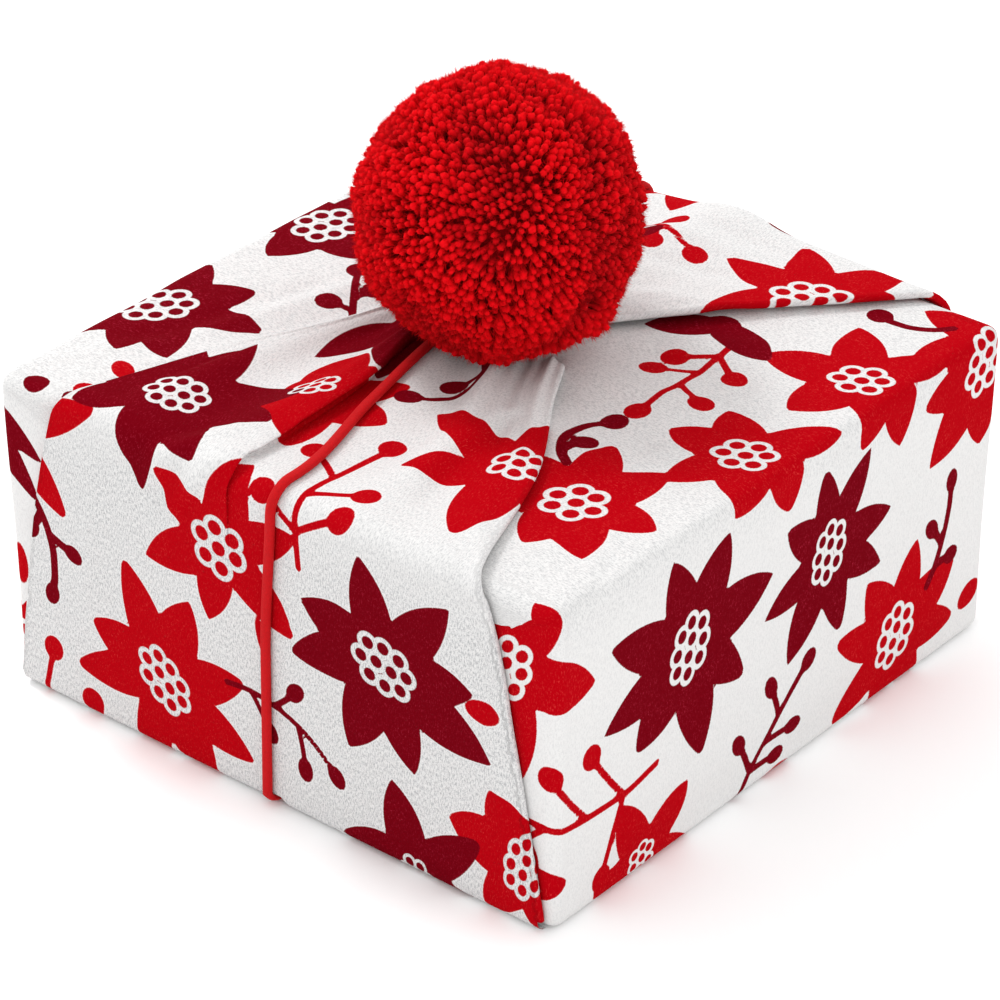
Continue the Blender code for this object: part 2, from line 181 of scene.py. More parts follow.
def soft_noise(place: Array, size: float, seed: int) -> Array:
    """Smooth noise from -1 to 1 over a plane.

    Args:
        place: Positions, with two numbers in the last axis.
        size: Width of one lump, in the positions' unit.
        seed: Any number; each gives its own noise.

    Returns:
        One value for each position.
    """
    cell = place / size
    base = np.floor(cell).astype(np.int64)
    t = cell - base
    t = t * t * (3 - 2 * t)

    def lump(dx: int, dy: int) -> Array:
        """A steady random value at one corner of each cell."""
        n = (base[..., 0] + dx) * 374761393 + (base[..., 1] + dy) * 668265263 + seed * 97531
        n = (n ^ (n >> 13)) * 1274126177
        return ((n ^ (n >> 16)) & 0xFFFF) / 32767.5 - 1

    low = lump(0, 0) * (1 - t[..., 0]) + lump(1, 0) * t[..., 0]
    high = lump(0, 1) * (1 - t[..., 0]) + lump(1, 1) * t[..., 0]
    return low * (1 - t[..., 1]) + high * t[..., 1]


def ease(low: float, high: float, at: Array) -> Array:
    """Rise smoothly from 0 at low to 1 at high."""
    t = np.clip((np.asarray(at, float) - low) / (high - low), 0, 1)
    return t * t * (3 - 2 * t)


def even(start: float, end: float, step: float, last: bool = False) -> list[float]:
    """Even positions from start to end about one step apart, with or without the last."""
    count = max(1, round(abs(end - start) / step))
    return [start + (end - start) * i / count for i in range(count + int(last))]


def blank_material(name: str) -> tuple[bpy.types.Material, bpy.types.NodeTree, bpy.types.Node]:
    """Start a material, and hand back it, its node tree and its shader."""
    material = bpy.data.materials.new(name)
    material.use_nodes = True
    return material, material.node_tree, material.node_tree.nodes["Principled BSDF"]


def add_thing(name: str, data: bpy.types.ID, material: bpy.types.Material | None = None) -> bpy.types.Object:
    """Put a mesh, a lamp or a camera in the scene as an object, dressed where it is a mesh."""
    thing = bpy.data.objects.new(name, data)
    bpy.context.scene.collection.objects.link(thing)
    if material:
        wear(thing, material)
    return thing


def wear(thing: bpy.types.Object, material: bpy.types.Material) -> None:
    """Give an object one material in place of those it has."""
    thing.data.materials.clear()
    thing.data.materials.append(material)


def deselect() -> None:
    """Leave nothing selected, so that the next operator acts on its own piece only."""
    for thing in list(bpy.context.selected_objects):
        thing.select_set(False)


# Sizes shared by the pieces


@dataclass(frozen=True)
class WrapSizes:
    """Sizes of the wrapped box, in metres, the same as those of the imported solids.

    Attributes:
        cloth: Thickness of the cloth.
        layer_gap: Gap between one layer and the next.
        fold_gap: Gap inside a turned-under fold.
        hem_width: Width of the cloth turned under at a flap's side.
        panel_x: From the middle to the inner face of a side panel.
        panel_y: From the middle to the same face at the flaps' walls.
        panel_top: Height of the side panels' inner face on the top.
        corner_radius: Radius of that face over the box's edges.
        foot_radius: Radius of the cloth at the foot of the walls.
        side_panel_end: How near the middle a side panel ends.
        flap_end: How near the middle a flap ends.
        middle_y: Where the creases' place on the top is given first.
        neck_y: Where it is given next, by the pompom.
        channel_depth: Depth of the channel under the box, in which the band passes.
        lid_reach: How far the box's lid stands out over its walls.
        corner_droop: How far the cloth sinks past the front left corner.
        droop_reach: How far from that corner it sinks.
        foot_slack: How far the cloth stands off the foot of the right wall.
        slack_z: Heights at which that begins, is full, begins to end and ends.
        slack_y: Distances from the wall's middle at which it begins to end and ends.
    """

    cloth: float = 0.0010
    layer_gap: float = 0.0004
    fold_gap: float = 0.0004
    hem_width: float = 0.013
    panel_x: float = 0.1025
    panel_y: float = 0.1023
    panel_top: float = 0.1027
    corner_radius: float = 0.0032
    foot_radius: float = 0.0030
    side_panel_end: float = 0.006
    flap_end: float = 0.001
    middle_y: float = 0.052
    neck_y: float = 0.018
    channel_depth: float = 0.0020
    lid_reach: float = 0.0009
    corner_droop: float = 0.0009
    droop_reach: float = 0.018
    foot_slack: float = 0.0013
    slack_z: tuple[float, float, float, float] = (0.004, 0.020, 0.024, 0.056)
    slack_y: Spot = (0.070, 0.098)

    @property
    def flap_rise(self) -> float:
        """How far a flap's inner face lies outside the side panels' inner face."""
        return 2 * self.cloth + self.layer_gap + self.fold_gap

    @property
    def flap_y(self) -> float:
        """Distance of a flap's inner face from the middle."""
        return self.panel_y + self.flap_rise

    @property
    def flap_radius(self) -> float:
        """Radius of a flap's inner face over the top edge of the box."""
        return self.corner_radius + self.flap_rise

    @property
    def turn_y(self) -> float:
        """Where a flap's top begins, as a distance from the middle."""
        return self.panel_y - self.corner_radius

    @property
    def turn_z(self) -> float:
        """Height at which the walls begin to turn over the top edge."""
        return self.panel_top - self.corner_radius

    @property
    def turn_x(self) -> float:
        """Where a side panel's top begins, as a distance from the middle."""
        return self.panel_x - self.corner_radius

    @property
    def foot_z(self) -> float:
        """Height at which the walls begin, above the curve at their foot."""
        return self.cloth + self.foot_radius

    def lean(self, points: Array) -> Array:
        """Make the wrap as uneven as its box and its slack cloth are.

        It widens a little at its top, over the rim of the box's lid, droops past the front
        left corner, where the cloth isn't pulled tight, and stands off the foot of the
        right wall.

        Args:
            points: Positions, three numbers each.

        Returns:
            The moved positions.
        """
        x, y, z = (points[..., i] for i in range(3))
        height = ease(0.3 * self.turn_z, self.turn_z, z)
        wide = 1 + (2 * height - 1) * self.lid_reach / self.panel_x * 0.5
        corner = np.array([-self.panel_x, -self.panel_y, self.panel_top])
        near = np.exp(-((points - corner) ** 2).sum(-1) / self.droop_reach**2)
        slack = ease(*self.slack_z[:2], z) * (1 - ease(*self.slack_z[2:], z))
        slack = slack * (1 - ease(*self.slack_y, np.abs(y)))
        on_right_wall = x > 0.09
        new_x = x * wide + self.foot_slack * slack * on_right_wall
        return np.stack([new_x, y * wide, z - self.corner_droop * near], axis=-1)


SIZES = WrapSizes()


# The print


@dataclass(frozen=True)
class Petal:
    """One pointed petal, from the heart of its flower outwards.

    Attributes:
        turn: Direction in degrees, from +u towards +v.
        length: From the flower's middle to the tip, in millimetres.
        half: Half of its greatest width, in millimetres.
        blunt: Radius of its tip, in millimetres, 0 for a pointed one.
        bend: How far the tip curls aside, in millimetres, to the left of its direction.
    """

    turn: float
    length: float
    half: float = 8.0
    blunt: float = 0.0
    bend: float = 0.0

    def distance(self, place: Array) -> Array:
        """Signed distance of places round the flower's middle from this petal's outline."""
        angle = math.radians(self.turn)
        along = place[..., 0] * math.cos(angle) + place[..., 1] * math.sin(angle)
        aside = place[..., 1] * math.cos(angle) - place[..., 0] * math.sin(angle)
        root = -0.18 * self.length
        reach, half = (self.length - root) / 2 - self.blunt, self.half - self.blunt
        aside = aside - self.bend * np.clip(along / self.length, 0, 1.2) ** 2
        x, y = np.abs(along - (self.length + root) / 2), np.abs(aside)
        deep = (reach**2 - half**2) / (2 * half)
        beyond = x * deep > reach * (y + deep)
        return np.where(beyond, np.hypot(x - reach, y), np.hypot(x, y + deep) - deep - half) - self.blunt


@dataclass(frozen=True)
class Flower:
    """A printed flower: a star of petals round a heart of small white rings.

    Attributes:
        u: Middle of the flower across the arm of cloth, in millimetres.
        v: Middle of the flower along the arm of cloth, in millimetres.
        dye: The ink of its petals.
        petals: Its petals.
        heart_turn: Turn of the heart in degrees.
        heart_size: Width and height of the heart, as shares of the usual ones.
        heart: The kind of its heart.
        middle: Radius of the inked disc that joins its petals, in millimetres.
    """

    u: float
    v: float
    dye: Dye
    petals: tuple[Petal, ...]
    heart_turn: float = 0.0
    heart_size: Spot = (1.0, 1.0)
    heart: Heart = Heart.TEN_RINGS
    middle: float = 9.5

    def distance(self, place: Array) -> Array:
        """Signed distance of places on the cloth from the flower's outline."""
        near = place - np.array([self.u, self.v])
        shapes = [petal.distance(near) for petal in self.petals]
        shapes.append(np.hypot(near[..., 0], near[..., 1]) - self.middle)
        return np.minimum.reduce(shapes)

    def from_heart(self, place: Array) -> Array:
        """Places on the cloth as seen from the heart, turned and scaled with it."""
        near = place - np.array([self.u, self.v])
        angle = math.radians(self.heart_turn)
        x = near[..., 0] * math.cos(angle) + near[..., 1] * math.sin(angle)
        y = near[..., 1] * math.cos(angle) - near[..., 0] * math.sin(angle)
        kind = np.full_like(x, self.heart.value)
        return np.stack([x / self.heart_size[0], y / self.heart_size[1], kind], axis=-1)


@dataclass(frozen=True)
class Sprig:
    """Printed stems with round berries at their ends.

    Attributes:
        dye: Its ink.
        stems: Lines of points (u, v) in millimetres, drawn as one soft curve each.
        berries: Middles and half sizes (u, v, half width, half height, turn) in millimetres.
        half: Half of a stem's width, in millimetres.
    """

    dye: Dye
    stems: tuple[tuple[Spot, ...], ...] = ()
    berries: tuple[tuple[float, float, float, float, float], ...] = ()
    half: float = 1.0

    def distance(self, place: Array) -> Array:
        """Signed distance of places on the cloth from the sprig's outline."""
        shapes = [np.full(place.shape[:-1], FAR_MM)]
        for stem in self.stems:
            knots = np.arange(len(stem), dtype=float)
            fine = np.linspace(0, len(stem) - 1, 4 * len(stem) - 3)
            line = smooth(knots, np.array(stem, float).T, fine).T
            for start, end in zip(line, line[1:]):
                run = end - start
                share = np.clip((place - start) @ run / max(run @ run, 1e-9), 0, 1)
                gap = place - start - share[..., None] * run
                shapes.append(np.hypot(gap[..., 0], gap[..., 1]) - self.half)
        for u, v, wide, high, turn in self.berries:
            angle = math.radians(turn)
            near = place - np.array([u, v])
            x = (near[..., 0] * math.cos(angle) + near[..., 1] * math.sin(angle)) / wide
            y = (near[..., 1] * math.cos(angle) - near[..., 0] * math.sin(angle)) / high
            shapes.append((np.hypot(x, y) - 1) * min(wide, high))
        return np.minimum.reduce(shapes)


@dataclass(frozen=True)
class PrintedArm:
    """The motifs of one arm of the cloth."""

    flowers: tuple[Flower, ...] = ()
    sprigs: tuple[Sprig, ...] = ()

    def shapes(self, place: Array) -> tuple[Array, Array]:
        """Distances of the cloth's points from the print.

        Args:
            place: Print positions (u, v) in millimetres.

        Returns:
            The distances from red, from burgundy and from the reach of the nearest heart,
            and the places as seen from that heart with the heart's kind, in millimetres.
        """
        inks = [np.full(place.shape[:-1], INK_REACH_MM) for _ in Dye]
        near = np.full(place.shape[:-1], FAR_MM)
        heart = np.zeros(place.shape[:-1] + (3,))
        for motif in self.flowers + self.sprigs:
            inks[motif.dye.value] = np.minimum(inks[motif.dye.value], motif.distance(place))
        for flower in self.flowers:
            seen = flower.from_heart(place)
            away = np.hypot(seen[..., 0], seen[..., 1]) + FAR_MM * (flower.heart is Heart.NONE)
            closer = away < near
            near = np.where(closer, away, near)
            heart = np.where(closer[..., None], seen, heart)
        gaps = np.stack([inks[0], inks[1], near - HEART_REACH_MM], axis=-1)
        return np.clip(gaps, -INK_REACH_MM, INK_REACH_MM), heart


# Half width and half height of a round berry and of a slim bud, in millimetres
BERRY = (3.9, 4.3)
BUD = (2.9, 4.0)

STEM_STEPS = 5


def star(
    turn: float, length: float, count: int, half: float, seed: int, spread: float = 360.0
) -> tuple[Petal, ...]:
    """Petals all round, uneven in direction, length and width.

    Args:
        turn: Direction of the first petal in degrees.
        length: Usual length of a petal, in millimetres.
        count: Number of petals.
        half: Usual half width of a petal, in millimetres.
        seed: Any number; each gives its own flower.
        spread: Degrees that the petals fill.

    Returns:
        The petals.
    """
    chance = random.Random(seed)
    return tuple(
        Petal(
            turn + spread * i / count + chance.uniform(-8, 8),
            length * chance.uniform(0.82, 1.12),
            half * chance.uniform(0.88, 1.12),
            chance.choice((0.0, 0.0, 2.0)),
            chance.uniform(-2.5, 2.5),
        )
        for i in range(count)
    )


def bent_line(foot: Spot, turn: float, length: float, bend: float) -> tuple[Spot, ...]:
    """Points of a line that sets out in one direction and turns evenly.

    Args:
        foot: Its first point (u, v), in millimetres.
        turn: Direction in which it sets out, in degrees.
        length: Its length in millimetres.
        bend: How far it has turned by its end, in degrees.

    Returns:
        The points (u, v) in millimetres.
    """
    points, pace = [foot], length / STEM_STEPS
    for i in range(STEM_STEPS):
        angle = math.radians(turn + bend * (i + 0.5) / STEM_STEPS)
        u, v = points[-1]
        points.append((u + pace * math.cos(angle), v + pace * math.sin(angle)))
    return tuple(points)


def spray(
    dye: Dye,
    foot: Spot,
    turn: float,
    length: float,
    bend: float,
    twigs: int,
    berry: Spot = BERRY,
    half: float = 1.1,
) -> Sprig:
    """A bent stem with twigs to either side in turn, and a berry at the end of each.

    Args:
        dye: Its ink.
        foot: Foot of the stem (u, v), in millimetres.
        turn: Direction in which the stem sets out, in degrees.
        length: Length of the stem, in millimetres.
        bend: How far the stem has turned by its end, in degrees.
        twigs: Number of twigs.
        berry: Half width and half height of a berry, in millimetres.
        half: Half of a stem's width, in millimetres.

    Returns:
        The sprig.
    """
    chance = random.Random(round(1000 * foot[0] + foot[1]))
    stems, ends = [bent_line(foot, turn, length, bend)], [turn + bend]
    for i in range(twigs):
        side = 1 if i % 2 else -1
        knot = 1 + 3 * i // twigs
        heading = turn + bend * knot / STEM_STEPS + side * chance.uniform(45, 60)
        stems.append(bent_line(stems[0][knot], heading, length * chance.uniform(0.24, 0.34), 10 * side))
        ends.append(heading + 10 * side)
    berries = tuple((*stem[-1], *berry, end - 90) for stem, end in zip(stems, ends))
    return Sprig(dye, tuple(stems), berries, half)


FRONT_PRINT = PrintedArm(
    flowers=(
        Flower(-50, 125, Dye.BURGUNDY, star(45, 36, 8, 8.0, 1), 15, (0.85, 0.85)),
        Flower(-15, 80, Dye.RED, star(20, 30, 6, 7.5, 2), -20, heart=Heart.SEVEN_RINGS),
        Flower(-40, 25, Dye.RED, star(25, 34, 8, 8.0, 3), -40, (1.0, 0.9)),
        Flower(45, 65, Dye.BURGUNDY, star(15, 38, 8, 8.0, 4), -10, (1.0, 0.95)),
        Flower(50, 155, Dye.RED, star(-80, 38, 6, 8.5, 5), 60, (0.85, 0.8), Heart.SEVEN_RINGS),
        Flower(-20, 150, Dye.RED, star(-110, 28, 5, 8.0, 6, 260), 60, (0.75, 0.55), Heart.SEVEN_RINGS),
        Flower(95, 20, Dye.RED, star(120, 28, 6, 8.0, 7), 80, (0.95, 0.7)),
        Flower(55, 0, Dye.BURGUNDY, star(50, 28, 6, 7.5, 8), 0, (0.6, 0.6), Heart.SEVEN_RINGS),
        Flower(-100, 90, Dye.RED, star(-40, 36, 2, 7.0, 9, 120), heart=Heart.NONE, middle=4.0),
        Flower(-25, 200, Dye.BURGUNDY, star(-110, 36, 2, 6.5, 10, 80), heart=Heart.NONE, middle=7.0),
    ),
    sprigs=(
        spray(Dye.RED, (15, 85), 95, 58, -10, 4),
        spray(Dye.BURGUNDY, (-15, 35), 10, 46, -60, 3, BUD, 1.0),
        spray(Dye.BURGUNDY, (-90, 70), -50, 35, -60, 2, BUD, 1.5),
        spray(Dye.BURGUNDY, (5, 195), -40, 34, -120, 1, BERRY, 1.2),
        spray(Dye.RED, (-90, 0), 75, 18, 0, 0),
        Sprig(Dye.RED, berries=((-70, 5, 4.6, 4.4, -30), (0, 55, 2.2, 7.5, 15), (80, 65, 6.0, 3.5, 0))),
    ),
)

RIGHT_PRINT = PrintedArm(
    flowers=(
        Flower(-45, 65, Dye.BURGUNDY, star(10, 39, 8, 8.0, 11), 80, (1.0, 0.9)),
        Flower(-120, 85, Dye.RED, star(-15, 34, 6, 8.5, 12), 70),
        Flower(-65, 5, Dye.RED, star(45, 25, 5, 6.5, 13), 30, (0.6, 0.6), Heart.SEVEN_RINGS, 8.0),
        Flower(50, 115, Dye.RED, star(45, 30, 6, 8.0, 14), -60, (0.95, 0.8), Heart.SEVEN_RINGS),
        Flower(-5, 115, Dye.RED, star(35, 30, 6, 7.5, 15), -60, (0.95, 0.85), Heart.SEVEN_RINGS),
        Flower(20, 65, Dye.BURGUNDY, star(10, 31, 8, 6.6, 16), 80, (0.9, 0.8)),
        Flower(55, 20, Dye.RED, star(25, 31, 8, 7.5, 17), 75, (0.95, 0.9)),
        Flower(95, 95, Dye.RED, star(45, 34, 8, 8.0, 18), 60, (0.95, 0.9)),
        Flower(-55, 135, Dye.RED, star(20, 31, 7, 8.0, 19), -30, (1.0, 0.95), Heart.SEVEN_RINGS),
        Flower(50, 165, Dye.BURGUNDY, star(120, 22, 2, 6.0, 20, 250), heart=Heart.NONE, middle=6.0),
        Flower(-115, 15, Dye.RED, star(-5, 18, 2, 6.0, 30, 130), heart=Heart.NONE, middle=5.0),
    ),
    sprigs=(
        spray(Dye.RED, (45, 155), 185, 50, -5, 4),
        spray(Dye.BURGUNDY, (-40, 150), 65, 32, -110, 1, BERRY, 1.5),
        spray(Dye.RED, (-60, 35), 195, 76, -45, 4),
        spray(Dye.BURGUNDY, (-20, 0), 60, 46, -25, 4, BUD, 1.2),
        spray(Dye.BURGUNDY, (70, 30), 45, 34, 50, 2, BUD, 1.4),
        spray(Dye.BURGUNDY, (92, 112), 150, 24, -80, 0, BERRY, 1.4),
        Sprig(Dye.RED, berries=((95, 15, 6.0, 4.0, 20), (0, 0, 6.0, 3.0, 0))),
    ),
)

BACK_PRINT = PrintedArm(
    flowers=(
        Flower(55, 135, Dye.RED, star(130, 36, 7, 8.0, 29), -20, (1.1, 0.95)),
        Flower(-18, 84, Dye.RED, star(25, 36, 8, 7.6, 21), 20),
        Flower(58, 50, Dye.BURGUNDY, star(60, 36, 8, 7.8, 22), -35),
        Flower(-62, 36, Dye.RED, star(10, 35, 7, 8.0, 23), 65),
        Flower(0, 8, Dye.RED, star(40, 33, 8, 7.8, 24), heart=Heart.SEVEN_RINGS),
        Flower(-68, 116, Dye.RED, star(75, 32, 7, 7.8, 25), 10),
        Flower(-24, 158, Dye.BURGUNDY, star(5, 31, 7, 7.5, 26), -15),
        Flower(88, 4, Dye.RED, star(15, 30, 7, 7.5, 27)),
        Flower(98, 100, Dye.RED, star(30, 33, 7, 7.5, 28), 40),
    ),
    sprigs=(
        spray(Dye.RED, (-15, 130), 10, 30, 10, 2),
        spray(Dye.BURGUNDY, (18, 36), 85, 28, 10, 2, BERRY, 1.4),
        Sprig(Dye.BURGUNDY, berries=((25, 105, 8.0, 2.6, -15),)),
    ),
)

LEFT_PRINT = PrintedArm(
    flowers=(
        Flower(-45, 110, Dye.BURGUNDY, star(30, 35, 8, 8.0, 37), 40, (1.05, 0.95)),
        Flower(25, 115, Dye.BURGUNDY, star(60, 29, 6, 8.0, 38), 20),
        Flower(-90, 90, Dye.BURGUNDY, star(195, 31, 4, 6.0, 39, 150), 20, (0.8, 0.8), middle=8.0),
        Flower(-52, 40, Dye.RED, star(55, 36, 8, 7.8, 31), 35),
        Flower(36, 50, Dye.RED, star(30, 37, 8, 7.8, 32), -25),
        Flower(-8, 8, Dye.BURGUNDY, star(20, 33, 8, 7.6, 33), 70),
        Flower(88, 84, Dye.RED, star(65, 32, 7, 7.8, 34), 15, heart=Heart.SEVEN_RINGS),
        Flower(84, 14, Dye.BURGUNDY, star(80, 34, 8, 7.6, 35), -50),
        Flower(-104, 10, Dye.RED, star(15, 30, 7, 7.5, 36)),
        Flower(-35, 170, Dye.BURGUNDY, star(20, 32, 2, 8.5, 40, 350), heart=Heart.NONE),
    ),
    sprigs=(
        spray(Dye.BURGUNDY, (-15, 160), -40, 30, 5, 2, BERRY, 1.2),
        spray(Dye.RED, (-10, 45), 80, 36, 15, 2),
        Sprig(Dye.BURGUNDY, berries=((-100, 115, 3.6, 4.4, 0), (-100, 130, 3.4, 4.0, 0))),
        Sprig(Dye.RED, berries=((-95, 130, 3.6, 5.0, 20), (-80, 130, 3.2, 5.6, 30))),
        Sprig(Dye.RED, berries=((-105, 40, 3.2, 7.0, 0),)),
    ),
)


# Creases of the flaps


@dataclass(frozen=True)
class Crease:
    """One crease of a flap, from the floor up the wall and over the top to the pompom.

    Attributes:
        name: What it is.
        across: Its place across the flap in millimetres, at the wall's foot and middle,
            the wall's top, the start of the top, and at 52, 18 and 1 mm from the middle.
        lift: How far it stands off the flap's plane, in millimetres, at half the wall's
            height and at the last four of those places.
    """

    name: str
    across: tuple[float, ...]
    lift: tuple[float, ...]


FRONT_CREASES = (
    Crease("left fold", (-99.0, -91.0, -78.0, -73.0, -57.0, -41.0, -36.0), (0, 0.3, 0.5, 0.6, 0.4)),
    Crease("left slope", (-78.0, -74.0, -66.0, -64.0, -53.0, -39.6, -34.6), (0.2, 0.6, 0.8, 0.9, 0.6)),
    Crease("left ridge", (-55.0, -55.0, -54.6, -54.4, -48.0, -37.8, -33.0), (0, 1.5, 2.4, 2.4, 1.0)),
    Crease("left valley", (-38.0, -38.0, -37.5, -37.0, -34.0, -30.0, -28.6), (0.1, -0.7, -1.2, -1.2, -0.9)),
    Crease("lapped ridge", (-21.0, -20.6, -19.0, -18.6, -17.6, -23.0, -25.6), (0, 2.6, 4.2, 2.9, 1.0)),
    Crease("lap edge", (-12.0, -12.6, -10.4, -9.8, -11.0, -19.4, -22.6), (0, 1.4, 3.2, 1.8, 0.4)),
    Crease("under the lap", (-8.4, -10.2, -11.2, -11.4, -13.8, -20.2, -22.4), (0, 0.0, 0.6, 0.2, -0.4)),
    Crease("slit", (-4.6, -6.4, -9.2, -10.0, -13.4, -19.6, -21.6), (0, -0.6, -1.0, -1.0, -0.9)),
    Crease("band left", (-1.7, -0.6, 3.4, 3.8, -8.0, -16.4, -19.2), (0, -0.2, -0.6, -0.8, -1.0)),
    Crease("band", (0.8, 2.0, 6.0, 6.4, -5.4, -13.8, -16.6), (0, -0.2, -0.6, -0.8, -1.0)),
    Crease("band right", (3.3, 4.6, 8.6, 9.0, -2.8, -11.2, -14.0), (0, -0.2, -0.6, -0.8, -1.0)),
    Crease("near valley", (7.0, 13.0, 20.0, 20.5, 14.0, 2.4, -5.0), (0.2, 0.2, -1.0, -1.4, -1.0)),
    Crease("near ridge", (34.0, 34.0, 33.0, 32.0, 24.6, 11.0, 3.5), (0, 0.9, 2.0, 2.6, 1.0)),
    Crease("far valley", (56.0, 53.0, 49.0, 46.5, 36.6, 18.4, 10.0), (0.2, -0.2, -1.1, -1.3, -0.9)),
    Crease("right slope", (80.0, 75.0, 67.0, 61.0, 46.0, 26.0, 17.0), (0.3, 0.8, 1.5, 1.8, 0.8)),
    Crease("right fold", (99.4, 90.4, 80.0, 73.6, 54.0, 32.0, 22.0), (0, 0.3, 0.6, 1.0, 0.5)),
)

BACK_CREASES = (
    Crease("left fold", (-97.2, -92.0, -80.0, -78.0, -64.0, -49.0, -43.0), (0, 0.2, 0.4, 0.6, 0.4)),
    Crease("left slope", (-76.0, -74.0, -70.0, -69.0, -58.0, -45.6, -40.0), (0.2, 0.6, 0.8, 0.9, 0.6)),
    Crease("left ridge", (-55.0, -60.0, -61.0, -60.0, -51.0, -41.0, -37.0), (0, 1.2, 2.0, 2.0, 1.0)),
    Crease("left valley", (-38.0, -48.0, -52.0, -51.0, -43.0, -35.0, -32.0), (0, -0.5, -1.0, -1.1, -0.9)),
    Crease("lapped ridge", (-22.0, -36.0, -43.0, -42.0, -34.6, -29.0, -26.6), (0, 0.8, 1.8, 1.8, 0.8)),
    Crease("lap edge", (-13.0, -29.0, -39.0, -38.0, -30.4, -26.0, -24.4), (0, 0.2, 0.5, 0.5, 0.2)),
    Crease("slit", (-5.6, -23.0, -35.6, -34.8, -27.0, -24.2, -22.4), (0, -0.3, -0.8, -1.0, -0.9)),
    Crease("band left", (-2.5, -19.8, -33.0, -32.2, -24.4, -21.4, -19.6), (0, -0.2, -0.6, -0.8, -1.0)),
    Crease("band", (0.0, -17.2, -30.4, -29.6, -21.8, -18.8, -17.0), (0, -0.2, -0.6, -0.8, -1.0)),
    Crease("band right", (2.5, -14.6, -27.8, -27.0, -19.2, -16.2, -14.4), (0, -0.2, -0.6, -0.8, -1.0)),
    Crease("near valley", (5.6, -6.0, -12.0, -11.0, -12.0, -10.0, -8.0), (0.2, 1.4, 1.2, -0.4, -0.8)),
    Crease("rolled ridge", (34.0, 16.0, 9.0, 6.5, -3.0, -2.4, -2.0), (0.3, 5.0, 6.0, 2.8, 1.2)),
    Crease("far slope", (55.0, 45.0, 34.0, 29.0, 12.0, 2.6, 1.6), (0.3, 1.6, 2.6, 2.4, 1.1)),
    Crease("right slope", (78.0, 72.0, 64.0, 57.0, 26.0, 7.2, 5.0), (0.3, 0.8, 2.0, 2.4, 1.0)),
    Crease("right fold", (97.2, 91.7, 82.4, 76.0, 36.0, 11.6, 8.6), (0, 0.6, 1.8, 2.2, 0.8)),
)


@dataclass(frozen=True)
class Pucker:
    """A soft ridge or trough on one arm of the cloth.

    Attributes:
        start: Where it begins (u, v), in millimetres.
        end: Where it ends.
        half: Half of its width.
        lift: Its height, in millimetres, below 0 for a trough.
    """

    start: Spot
    end: Spot
    half: float
    lift: float

    def height(self, place: Array) -> Array:
        """Its height at places on the cloth, in millimetres."""
        start, run = np.array(self.start), np.subtract(self.end, self.start)
        share = (place - start) @ run / (run @ run)
        gap = place - start - np.clip(share, 0, 1)[..., None] * run
        return self.lift * np.exp(-((gap**2).sum(-1)) / self.half**2)


FRONT_PUCKERS = (
    Pucker((-44, 89), (-22, 119), 2.2, 0.9),
    Pucker((-39, 87), (-16, 117), 2.0, -0.7),
    Pucker((-33, 86), (-10, 112), 2.2, 0.8),
    Pucker((-50, 92), (-30, 122), 2.6, -0.7),
    Pucker((-27, 88), (-7, 108), 1.8, -0.6),
    Pucker((-64, 88), (-69, 44), 4.0, 0.7),
    Pucker((-57, 94), (-58, 44), 3.6, -0.6),
    Pucker((5, 78), (16, 75), 1.1, 0.45),
    Pucker((5, 71), (17, 69), 1.1, -0.35),
    Pucker((5, 64), (16, 64), 1.2, 0.40),
    Pucker((5, 56), (15, 57), 1.1, 0.35),
    Pucker((6, 85), (14, 83), 1.3, -0.40),
    Pucker((-8, 134), (7, 172), 3.0, 0.9),
    Pucker((13, 122), (22, 166), 4.2, -0.9),
    Pucker((31, 134), (26, 178), 3.4, 1.0),
    Pucker((40, 128), (30, 176), 3.0, -0.8),
    Pucker((60, 127), (78, 104), 3.2, 1.1),
    Pucker((70, 110), (82, 70), 3.4, -0.7),
    Pucker((20, 40), (28, 90), 6.0, -0.5),
    Pucker((82, 60), (90, 14), 3.0, 0.6),
)

BACK_PUCKERS = (
    Pucker((-8, 134), (22, 128), 3.4, 0.9),
    Pucker((0, 150), (34, 138), 3.2, -0.8),
    Pucker((4, 121), (36, 118), 3.0, -0.7),
    Pucker((10, 168), (60, 146), 3.0, 0.7),
)

RIGHT_PUCKERS = (
    Pucker((-26, 176), (-38, 132), 4.6, 1.0),
    Pucker((-12, 182), (-16, 140), 4.0, -0.7),
    Pucker((2, 184), (8, 142), 5.0, 1.0),
    Pucker((20, 178), (28, 140), 4.6, -0.7),
    Pucker((34, 166), (58, 136), 5.0, 0.8),
    Pucker((-90, 128), (-52, 116), 5.0, 0.8),
    Pucker((-98, 98), (-74, 107), 2.6, -0.8),
    Pucker((-100, 106), (-70, 113), 2.8, 0.6),
    Pucker((-104, 86), (-103, 20), 2.4, -0.6),
)

LEFT_PUCKERS = (
    Pucker((-49, 132), (8, 150), 3.6, 0.9),
    Pucker((-38, 146), (-2, 160), 3.0, -0.7),
    Pucker((-60, 120), (-6, 138), 4.0, -0.7),
    Pucker((-96, 104), (-62, 126), 3.0, 0.6),
)


@dataclass
class Grid:
    """A grid of points on the cloth, with its print positions.

    Attributes:
        points: Positions in metres, by row and column.
        place: Print positions (u, v) in millimetres.
        arm: The print of this arm of the cloth.
        side_out: True where rows going up and columns going right face outwards.
    """

    points: Array
    place: Array
    arm: PrintedArm
    side_out: bool


